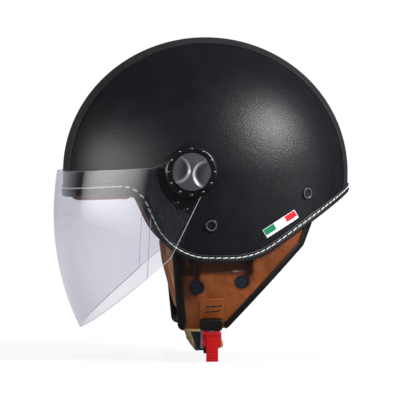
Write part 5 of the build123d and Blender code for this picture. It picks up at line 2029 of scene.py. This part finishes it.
@dataclass
class SidePivot:
    """Studded bezel and grey knob over the visor's pivot."""

    side: Side
    x: float = -17.8
    z: float = 3.2
    bezel_foot: float = 118.4
    bezel_top: float = 122.9
    bezel_radius: float = 23.9
    knob_radius: float = 17.25
    knob_foot: float = 119.9
    knob_top: float = 124.3
    tilt: float = 9.5
    hollow: tuple[float, float, float, float] = (13.8, 13.0, 10.6, 3.0)
    stud_count: int = 12
    stud_circle: float = 20.9
    stud_radius: float = 1.15
    stud_height: float = 0.8

    def turned(self, profile: Sequence[Pair], steps: int = 96) -> Mesh:
        """Round piece about the pivot, from radii and distances from the mid-plane in millimetres."""
        place = side_matrix(self.x, self.z, self.side)
        return spun(profile, place, steps)

    def knob(self, bench: Bench) -> None:
        """Knob with two crescent hollows for the fingers.

        Args:
            bench: Where pieces are made.
        """
        top, foot, radius = self.knob_top, self.knob_foot, self.knob_radius
        profile = [(0.0, top), (radius - 1.0, top), (radius - 0.4, top - 0.15), (radius, top - 0.7),
                   (radius, foot + 0.3), (radius - 0.3, foot), (0.0, foot)]
        knob = bench.piece(self.turned(profile), f"knob_{self.side.word}", bench.finish.knob_grey,
                           f"{self.side.word}_knob", [f"pivot_knob_{self.side.word}"])
        offset, wide, narrow, depth = self.hollow
        cutters = []
        for way in (1, -1):
            angle = math.radians(self.tilt)
            x = self.x + way * offset * math.cos(angle)
            z = self.z - way * offset * math.sin(angle)
            profile = [(0.0, top + 1.0), (wide + 0.4, top + 1.0), (wide, top), (wide - 0.7, top - 0.75),
                       (wide - 1.6, top - 1.5), (wide - 2.6, top - 2.15), (wide - 3.8, top - 2.65),
                       (narrow - 2.6, top - depth), (0.0, top - depth)]
            place = side_matrix(x, z, self.side)
            cutter = spun(profile, place, 96)
            away = Vector((way * math.cos(angle), 0.0, -way * math.sin(angle)))
            for vert in cutter.verts:
                below = top * MM - abs(vert.co.y)
                if below > 0:
                    across = (vert.co - Vector((x * MM, vert.co.y, z * MM))).dot(away) / (wide * MM)
                    vert.co.y += self.side.value * below * (0.4 + 0.42 * across)
            cutters.append(cutter)
        bench.cut(knob, cutters, sharp=30)
        bench.rounded(knob, 0.22 * MM, 2, 35, 30)
        self.mark_hollows(knob)

    def mark_hollows(self, knob: bpy.types.Object) -> None:
        """Stores where a painted highlight lies on the hollows' walls and where painted shade lies on their
        floors.

        Args:
            knob: The knob.
        """
        offset, wide = self.hollow[:2]
        polish = knob.data.attributes.new("polish", "FLOAT", "POINT")
        recess = knob.data.attributes.new("recess", "FLOAT", "POINT")
        angle = math.radians(self.tilt)
        for vert in knob.data.vertices:
            below = self.knob_top - abs(vert.co.y) / MM
            bright, shade_share = 0.0, 0.0
            for way in (1, -1):
                away = Vector((way * math.cos(angle), -way * math.sin(angle)))
                spot = Vector((vert.co.x / MM - self.x, vert.co.z / MM - self.z)) - away * offset
                reach = spot.length
                towards = max(0.0, -spot.normalized().dot(away))
                if below > 0.05 and reach < wide + 0.2:
                    bright = max(bright, math.exp(-(((wide - 1.2 - reach) / 1.25) ** 2)) * towards**0.9)
                    shade_share = max(shade_share, math.exp(-(((wide - 5.2 - reach) / 2.2) ** 2)) * towards)
            polish.data[vert.index].value = bright
            recess.data[vert.index].value = shade_share * (1 - bright)

    def studs(self) -> Mesh:
        """Twelve small domed studs on the bezel.

        Returns:
            Their mesh.
        """
        mesh = bmesh.new()
        lift = Matrix.Translation((0, 0, self.bezel_top * MM))
        wide = self.stud_radius * MM
        lift = lift @ Matrix.Diagonal((wide, wide, self.stud_height * MM, 1.0))
        for k in range(self.stud_count):
            turn = math.tau * k / self.stud_count
            x = self.x + self.stud_circle * math.sin(turn)
            z = self.z + self.stud_circle * math.cos(turn)
            place = side_matrix(x, z, self.side)
            bmesh.ops.create_uvsphere(mesh, u_segments=16, v_segments=10, radius=1.0, matrix=place @ lift)
        return mesh

    def build(self, bench: Bench) -> None:
        """Makes the pivot's pieces.

        Args:
            bench: Where pieces are made.
        """
        word = self.side.word
        top, foot, radius = self.bezel_top, self.bezel_foot, self.bezel_radius
        recess = self.knob_radius + 0.35
        bezel = [(4.1, foot), (radius - 0.4, foot), (radius, foot + 0.4), (radius, top - 2.5),
                 (radius - 0.45, top - 1.6), (radius - 1.1, top - 0.8), (radius - 1.85, top - 0.2),
                 (radius - 2.3, top), (recess + 0.5, top), (recess, top - 0.5), (recess, foot + 1.2),
                 (4.1, foot + 1.2), (4.1, foot)]
        bench.piece(self.turned(bezel, 128), f"bezel_{word}", bench.finish.black_plastic,
                    replaces=[f"pivot_bezel_{word}"])
        bench.piece(self.studs(), f"studs_{word}", bench.finish.stud, replaces=[f"bezel_studs_{word}"])
        self.knob(bench)
        for node in (f"pivot_base_{word}", f"friction_washer_{word}", f"knob_screw_{word}"):
            bench.dress(node, bench.finish.black_plastic)
        bench.dress(f"pivot_nut_{word}", bench.finish.steel)


RIVET_PLACES = {"front": (0.7, -45.7), "rear": (89.0, -17.5)}


@dataclass
class StrapRivets:
    """Dished rivets that hold the side straps."""

    side: Side
    head: Profile = (
        (0.0, -1.0), (5.9, -1.0), (5.9, 0.6), (5.6, 1.1), (5.1, 1.35), (4.6, 1.25), (4.2, 0.85), (3.6, 0.6),
        (0.0, 0.7))
    ring: Profile = (
        (4.05, 1.2), (4.15, 1.42), (4.4, 1.5), (4.65, 1.42), (4.75, 1.2), (4.4, 0.9), (4.05, 1.2))

    def build(self, bench: Bench) -> None:
        """Makes the rivets' heads and dresses their tails.

        Args:
            bench: Where pieces are made.
        """
        word = self.side.word
        for name, (x, z) in RIVET_PLACES.items():
            point = FORM.side_point(x * MM, z * MM, 0.0, self.side)
            out = FORM.normal(point)
            across = Vector((0, 0, 1)).cross(out).normalized()
            place = axes_matrix(across, out.cross(across), out, point)
            bench.piece(spun(self.head, place, 64), f"{name}_rivet_head_{word}",
                        bench.finish.rivet, sharp=45)
            # Raised ring round the rivet's dish, its pale grey a painted highlight along its edge.
            bench.piece(spun(self.ring, place, 64), f"{name}_rivet_ring_{word}",
                        bench.finish.rivet_ring, sharp=45)
            bench.dress(f"{name}_strap_rivet_{word}", bench.finish.rivet)


@dataclass
class Patch:
    """Small woven flag patch on the left panel."""

    centre: Pair = (64.3, -44.8)
    length: float = 34.5
    height: float = 8.5
    tilt: float = 31.6
    columns: int = 48
    rows: int = 12

    def build(self, bench: Bench) -> None:
        """Makes the patch.

        Args:
            bench: Where pieces are made.
        """
        turn = Matrix.Rotation(math.radians(self.tilt), 2)

        def place(i: int, j: int) -> Vector:
            """Column i along the patch, row j up."""
            spot = Vector(((i / self.columns - 0.5) * self.length, (j / self.rows - 0.5) * self.height))
            spot = Vector(self.centre) + turn @ spot
            border = i in (0, self.columns) or j in (0, self.rows)
            depth = -0.3 if border else -0.62
            return FORM.side_point(spot.x * MM, spot.y * MM, depth * MM, Side.LEFT)

        mesh = thickened(facing_out(mapped_grid(self.columns, self.rows, place)), 0.35 * MM)
        bench.piece(mesh, "patch_flag", bench.finish.flag, replaces=["flag_patch"])


@dataclass
class Straps:
    """Side straps, chin strap and its pad, and the buckle."""

    strap_width: float = 19.0
    webbing: float = 1.6
    strap_x: float = 2.0
    chin_x: float = -8.0
    slant: float = 5.0
    path_corners: Profile = (
        (-82.7, -143.0), (-79.0, -160.0), (79.0, -160.0), (82.7, -137.0))
    bend: float = 11.0
    pad_width: float = 28.0
    pad_shift: float = 2.2
    pad_height: float = 7.5
    pad_top: float = -146.4
    strap_y: float = 82.7
    front_end: Pair = (2.0, -117.5)
    rear_end: Pair = (8.0, -108.0)
    tail: float = 9.0
    side_stations: int = 60
    chin_stations: int = 140
    end_top: float = -119.0
    ribbon_cuts: int = 40
    ribbon_flat: float = 4.5
    ripple_pitch: float = 2.6
    ripple_depth: Pair = (0.22, 0.28)

    def ribbon(self, line: Sequence[Vector], outs: Sequence[Vector], across: Sequence[Vector]) -> Mesh:
        """Flat webbing along a line.

        Args:
            line: Middle of the webbing, in metres.
            outs: Direction square to its face at each point.
            across: Direction over its width at each point.

        Returns:
            The closed strip, with rounded edges.
        """
        width = self.strap_width * MM
        half, thin = width / 2, self.webbing * MM / 2
        flat = half - thin * 0.6
        section = [(-flat + 2 * flat * k / 8, thin) for k in range(9)]
        section += [(half - thin * 0.15, thin * 0.6), (half, 0.0), (half - thin * 0.15, -thin * 0.6)]
        section += [(-over, -up) for over, up in section]
        count = len(section)
        length = sum((b - a).length for a, b in zip(line, line[1:]))

        def place(i: int, j: int) -> Vector:
            """Section point j at station i."""
            over, up = section[j % count]
            return line[i] + across[i] * over + outs[i] * up

        return capped(mapped_grid(len(line) - 1, count, place, (length, 2 * width)))

    def on_form_strip(self, start: Pair, end: Pair, side: Side,
                      depth: float) -> Mesh:
        """Webbing that lies on the form under the flap.

        Args:
            start: The rivet's place in side view.
            end: Its other end.
            side: Side of the head.
            depth: Its depth under the leather's face.

        Returns:
            Its mesh.
        """
        first, last = Vector(start), Vector(end)
        run = (last - first).normalized()
        first = first - run * self.tail
        spots = [first.lerp(last, k / self.side_stations) for k in range(self.side_stations + 1)]
        line = [FORM.side_point(spot.x * MM, spot.y * MM, depth * MM, side) for spot in spots]
        outs = [FORM.normal(point) for point in line]
        across = [out.cross(way).normalized() for out, way in zip(outs, directions(line))]
        return self.ribbon(line, outs, across)

    def side_straps(self, bench: Bench) -> None:
        """Webbing from the rivets to the keeper, and the end that hangs out of it.

        Args:
            bench: Where pieces are made.
        """
        for side in Side:
            node = f"side_strap_{side.word}"
            front = self.on_form_strip(RIVET_PLACES["front"], self.front_end, side, 9.4)
            rear = self.on_form_strip(RIVET_PLACES["rear"], self.rear_end, side, 9.5)
            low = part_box(node)[0].z
            y = side.value * self.strap_y * MM
            line = [Vector((self.strap_x * MM, y, z)) for z in np.linspace(self.end_top * MM, low, 16)]
            outs = [Vector((0, side.value, 0))] * 16
            across = [Vector((1, 0, 0))] * 16
            end = self.ribbon(line, outs, across)
            strips = ((front, "strap_front", [node]), (rear, "strap_rear", []), (end, "strap_end", []))
            for mesh, name, nodes in strips:
                bench.piece(mesh, f"{name}_{side.word}", bench.finish.webbing, replaces=nodes, sharp=60)

    def chin_line(self) -> tuple[list[Vector], list[Vector]]:
        """Middle of the chin webbing seen from the front, and the direction away from the chin.

        Returns:
            The points and the directions.
        """
        flat = rounded_outline(self.path_corners, [0, self.bend, self.bend, 0], closed=False)
        flat = resampled(flat, self.chin_stations + 1)
        return flat, [Vector((way.y, -way.x)) for way in directions(flat)]

    def chin_middle(self, z: float) -> float:
        """Middle of the chin strap's width at a level, as it leans back under the chin."""
        return self.chin_x + self.slant * smooth_step((-139.0 - z) / 20.0)

    def chin_webbing(self) -> Mesh:
        """The chin strap.

        Returns:
            Its mesh.
        """
        flat, away = self.chin_line()
        line, outs, across = [], [], []
        for spot, out in zip(flat, away):
            share = smooth_step((spot.x - 57.0) / 22.0)
            middle = self.chin_middle(spot.y)
            x = middle + (self.strap_x - middle) * share
            line.append(Vector((x, spot.x, spot.y)) * MM)
            outs.append(Vector((0, out.x, out.y)))
            across.append(Vector((1, 0, 0)))
        return self.ribbon(line, outs, across)

    def chin_cushion(self) -> Mesh:
        """Soft pad on the strap's inside, crowned and rounded at its edges.

        Returns:
            Its mesh.
        """
        flat, away = self.chin_line()
        kept = [(spot, out) for spot, out in zip(flat, away) if spot.y < self.pad_top]
        count = len(kept) - 1
        rounds = 40
        foot = self.webbing / 2 + 0.15

        def place(i: int, j: int) -> Vector:
            """Point j round the pad at station i."""
            spot, out = kept[i]
            turn = math.tau * j / rounds
            close = smooth_step(min(i, count - i) / 5)
            swell = 0.75 + 0.25 * math.sqrt(close)
            over = signed_power(math.cos(turn), 0.5) * self.pad_width / 2
            lift = signed_power(math.sin(turn), 0.6)
            height = self.pad_height / 2 * (1 + lift * (swell if lift >= 0 else 1))
            wave = 1 + 0.03 * math.sin(i * 0.55)
            point = spot - out * (foot + height * wave * 0.97)
            return Vector((self.chin_middle(spot.y) + self.pad_shift + over * (0.9 + 0.1 * close),
                           point.x, point.y)) * MM

        return capped(mapped_grid(count, rounds, place))

    def pull_ribbon(self, bench: Bench) -> None:
        """Red ribbon folded over the lever's bar, with the ripples of its sewn layers.

        Args:
            bench: Where pieces are made.
        """
        ribbon = bench.softened(["pull_tab"], "ribbon", bench.finish.ribbon, "release_tab", width=0.25 * MM)
        mesh = bmesh.new()
        mesh.from_mesh(ribbon.data)
        low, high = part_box("pull_tab")
        for k in range(1, self.ribbon_cuts):
            level = low.z + (high.z - low.z) * k / self.ribbon_cuts
            geometry = mesh.verts[:] + mesh.edges[:] + mesh.faces[:]
            bmesh.ops.bisect_plane(mesh, geom=geometry, dist=1e-6, plane_co=(0, 0, level), plane_no=(0, 0, 1))
        middle = (low + high) / 2
        for vert in mesh.verts:
            depth = high.z - self.ribbon_flat * MM - vert.co.z
            if depth > 0:
                fade = smooth_step(depth / (3 * MM))
                wave = math.sin(math.tau * vert.co.z / (self.ripple_pitch * MM)) * fade
                wide, deep = self.ripple_depth
                vert.co.y -= deep * MM * wave
                vert.co.x += math.copysign(wide * MM, vert.co.x - middle.x) * wave
        mesh.to_mesh(ribbon.data)
        mesh.free()
        bench.smooth(ribbon, 50.0)

    def build(self, bench: Bench) -> None:
        """Makes the straps' pieces.

        Args:
            bench: Where pieces are made.
        """
        self.side_straps(bench)
        bench.piece(self.chin_webbing(), "chin_webbing", bench.finish.webbing, "chin_assembly",
                    ["chin_strap"], 60)
        pad = bench.piece(self.chin_cushion(), "chin_cushion", bench.finish.cream, "chin_assembly",
                          ["chin_pad"], 60)
        bench.softened(["buckle_frame"], "buckle_channel", bench.finish.steel, "helmet", width=0.25 * MM)
        bench.softened(["buckle_cover"], "buckle_cap", bench.finish.black_plastic, "helmet", width=0.6 * MM)
        bench.softened(["buckle_lever"], "lever_body", bench.finish.red_plastic, "release_lever")
        bench.softened(["buckle_tongue"], "toothed_strip", bench.finish.black_plastic, "chin_assembly",
                       width=0.15 * MM)
        self.pull_ribbon(bench)
        for node in ("lever_pin", "lever_spring", "strap_end_rivet", "tongue_rivet"):
            bench.dress(node, bench.finish.steel)


@dataclass
class Studio:
    """Pale floor and backdrop, soft lamps and the camera."""

    azimuth: float = -2.5
    elevation: float = 1.8
    distance: float = 6.0
    pixel: float = 0.92 * MM
    centre: Pair = (205.3, 171.7)
    floor_level: float = -0.1706
    ambient: float = 0.34
    reflected: float = 0.07
    sky: tuple[float, float, float, float] = (0.9, 0.93, 1.0, 1.0)
    sensor: float = 36.0
    pixels: int = 400

    def camera(self) -> None:
        """Places the camera where the photograph was taken from."""
        turn, lift = math.radians(self.azimuth), math.radians(self.elevation)
        back = Vector((math.sin(turn) * math.cos(lift), -math.cos(turn) * math.cos(lift), math.sin(lift)))
        right = Vector((math.cos(turn), math.sin(turn), 0.0))
        up = back.cross(right)
        aside, above = (self.pixels / 2 - place for place in self.centre)
        target = (right * aside - up * above) * self.pixel
        data = bpy.data.cameras.new("camera")
        data.sensor_width = self.sensor
        data.lens = self.sensor * self.distance / (self.pixels * self.pixel)
        data.clip_end = 60.0
        camera = bpy.data.objects.new("camera", data)
        camera.matrix_world = axes_matrix(right, up, back, target + back * self.distance)
        bpy.context.scene.collection.objects.link(camera)
        bpy.context.scene.camera = camera

    @staticmethod
    def seen_rays(nodes: Nodes) -> Socket:
        """Tells rays that show the background, straight or through clear plastic.

        Args:
            nodes: The tree that the nodes are added to.

        Returns:
            A value of one for such rays.
        """
        path = nodes.add("LightPath")
        direct = nodes.math("LESS_THAN", path.outputs["Glossy Depth"], 0.5)
        through = nodes.math("MULTIPLY", path.outputs["Is Transmission Ray"], direct)
        return nodes.math("MAXIMUM", path.outputs["Is Camera Ray"], through)

    def world(self) -> None:
        """White surroundings to the eye, and a plain soft light to the helmet."""
        world = bpy.data.worlds.new("studio")
        bpy.context.scene.world = world
        world.use_nodes = True
        nodes = Nodes(world.node_tree)
        base = nodes.tree.nodes["Background"]
        base.inputs["Color"].default_value = self.sky
        white = nodes.add("Background")
        white.inputs["Color"].default_value = (1, 1, 1, 1)
        white.inputs["Strength"].default_value = 1.0
        path = nodes.add("LightPath")
        level = nodes.levels(path.outputs["Is Glossy Ray"], self.ambient, self.reflected)
        nodes.link(level, base.inputs["Strength"])
        nodes.blend(self.seen_rays(nodes), base.outputs["Background"], white.outputs["Background"],
                    "World Output")

    def floor(self) -> None:
        """Pale floor that keeps the helmet's shadow."""
        mesh = bmesh.new()
        bmesh.ops.create_grid(mesh, x_segments=2, y_segments=2, size=3.0,
                              matrix=Matrix.Translation((0, 0, self.floor_level)))
        floor = new_object(mesh, "floor")
        shader = Shader("floor_pale")
        shader.set(Base_Color=(0.9, 0.9, 0.9, 1.0), Roughness=0.9, Specular_IOR_Level=0.1)
        glow = shader.add("Emission")
        glow.inputs["Color"].default_value = (1, 1, 1, 1)
        split = shader.add("VectorMath", operation="LENGTH")
        shader.link(shader.coordinates(), split.inputs[0])
        reach = shader.levels(split.outputs["Value"], 0.88, 1.0, 0.25, 1.0)
        shader.surface(shader.math("MULTIPLY", self.seen_rays(shader), reach), glow.outputs["Emission"])
        floor.data.materials.append(shader.material)
        floor.visible_glossy = False

    @staticmethod
    def lamp(name: str, place: Triple, size: Pair, power: float,
             mirrored: bool = True) -> None:
        """Adds a soft lamp that faces the helmet.

        Args:
            name: The lamp's name.
            place: Its middle.
            size: Its width and height.
            power: Its power in watts.
            mirrored: Whether glossy faces show it.
        """
        data = bpy.data.lights.new(name, "AREA")
        data.shape = "RECTANGLE"
        data.size, data.size_y = size
        data.energy = power
        lamp = bpy.data.objects.new(name, data)
        lamp.matrix_world = aimed(place, -0.02, "-Z")
        lamp.visible_glossy = mirrored
        bpy.context.scene.collection.objects.link(lamp)

    @staticmethod
    def card(name: str, place: Triple, size: Pair,
             strength: float) -> None:
        """Adds a glowing card that only shows in glossy faces and fades towards its edges.

        Args:
            name: The card's name.
            place: Its middle.
            size: Its width and height.
            strength: Its glow in the middle.
        """
        mesh = bmesh.new()
        bmesh.ops.create_grid(mesh, x_segments=2, y_segments=2, size=0.5,
                              matrix=Matrix.Diagonal((size[0], size[1], 1.0, 1.0)))
        card = new_object(mesh, name)
        card.matrix_world = aimed(place, 0.0, "Z")
        shader = Shader(name)
        split = shader.add("SeparateXYZ")
        shader.link(shader.coordinates((2 / size[0], 2 / size[1], 1.0)), split.inputs["Vector"])
        fades = []
        for axis in ("X", "Y"):
            reach = shader.math("POWER", shader.math("ABSOLUTE", split.outputs[axis], 0.0), 2.0)
            fades.append(shader.levels(reach, 1.0, 0.0))
        glow = shader.add("Emission")
        fade = shader.math("MULTIPLY", fades[0], fades[1])
        shader.link(shader.math("MULTIPLY", fade, strength), glow.inputs["Strength"])
        shader.link(glow.outputs["Emission"], shader.tree.nodes["Material Output"].inputs["Surface"])
        card.data.materials.append(shader.material)
        for ray in ("camera", "diffuse", "transmission", "shadow"):
            setattr(card, f"visible_{ray}", False)

    def build(self) -> None:
        """Sets up the studio."""
        self.camera()
        self.world()
        self.floor()
        self.lamp("key", (1.34, -0.96, 1.02), (0.6, 0.6), 50.0)
        self.lamp("front", (-0.5, -2.2, 0.7), (0.5, 0.5), 9.0, mirrored=False)
        self.lamp("top", (-0.2, 0.6, 1.6), (1.0, 1.0), 12.0, mirrored=False)
        self.card("card_front", (-1.4, -0.47, 0.18), (2.0, 0.62), 10.5)
        self.card("card_rear", (1.5, -0.45, 0.0), (1.3, 1.3), 1.1)
        bpy.context.scene.view_settings.view_transform = "Standard"


def main() -> None:
    """Builds the helmet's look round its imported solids."""
    logging.basicConfig(level=logging.INFO, format="%(name)s %(message)s")
    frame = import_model()
    Studio().build()
    bench = Bench(frame)
    LeatherCover().build(bench)
    RimTrim().build(bench)
    Interior().build(bench)
    for side in Side:
        EarFlap(side).build(bench)
        SidePivot(side).build(bench)
        StrapRivets(side).build(bench)
    Visor().build(bench)
    Patch().build(bench)
    Straps().build(bench)


if __name__ == "__main__":
    main()
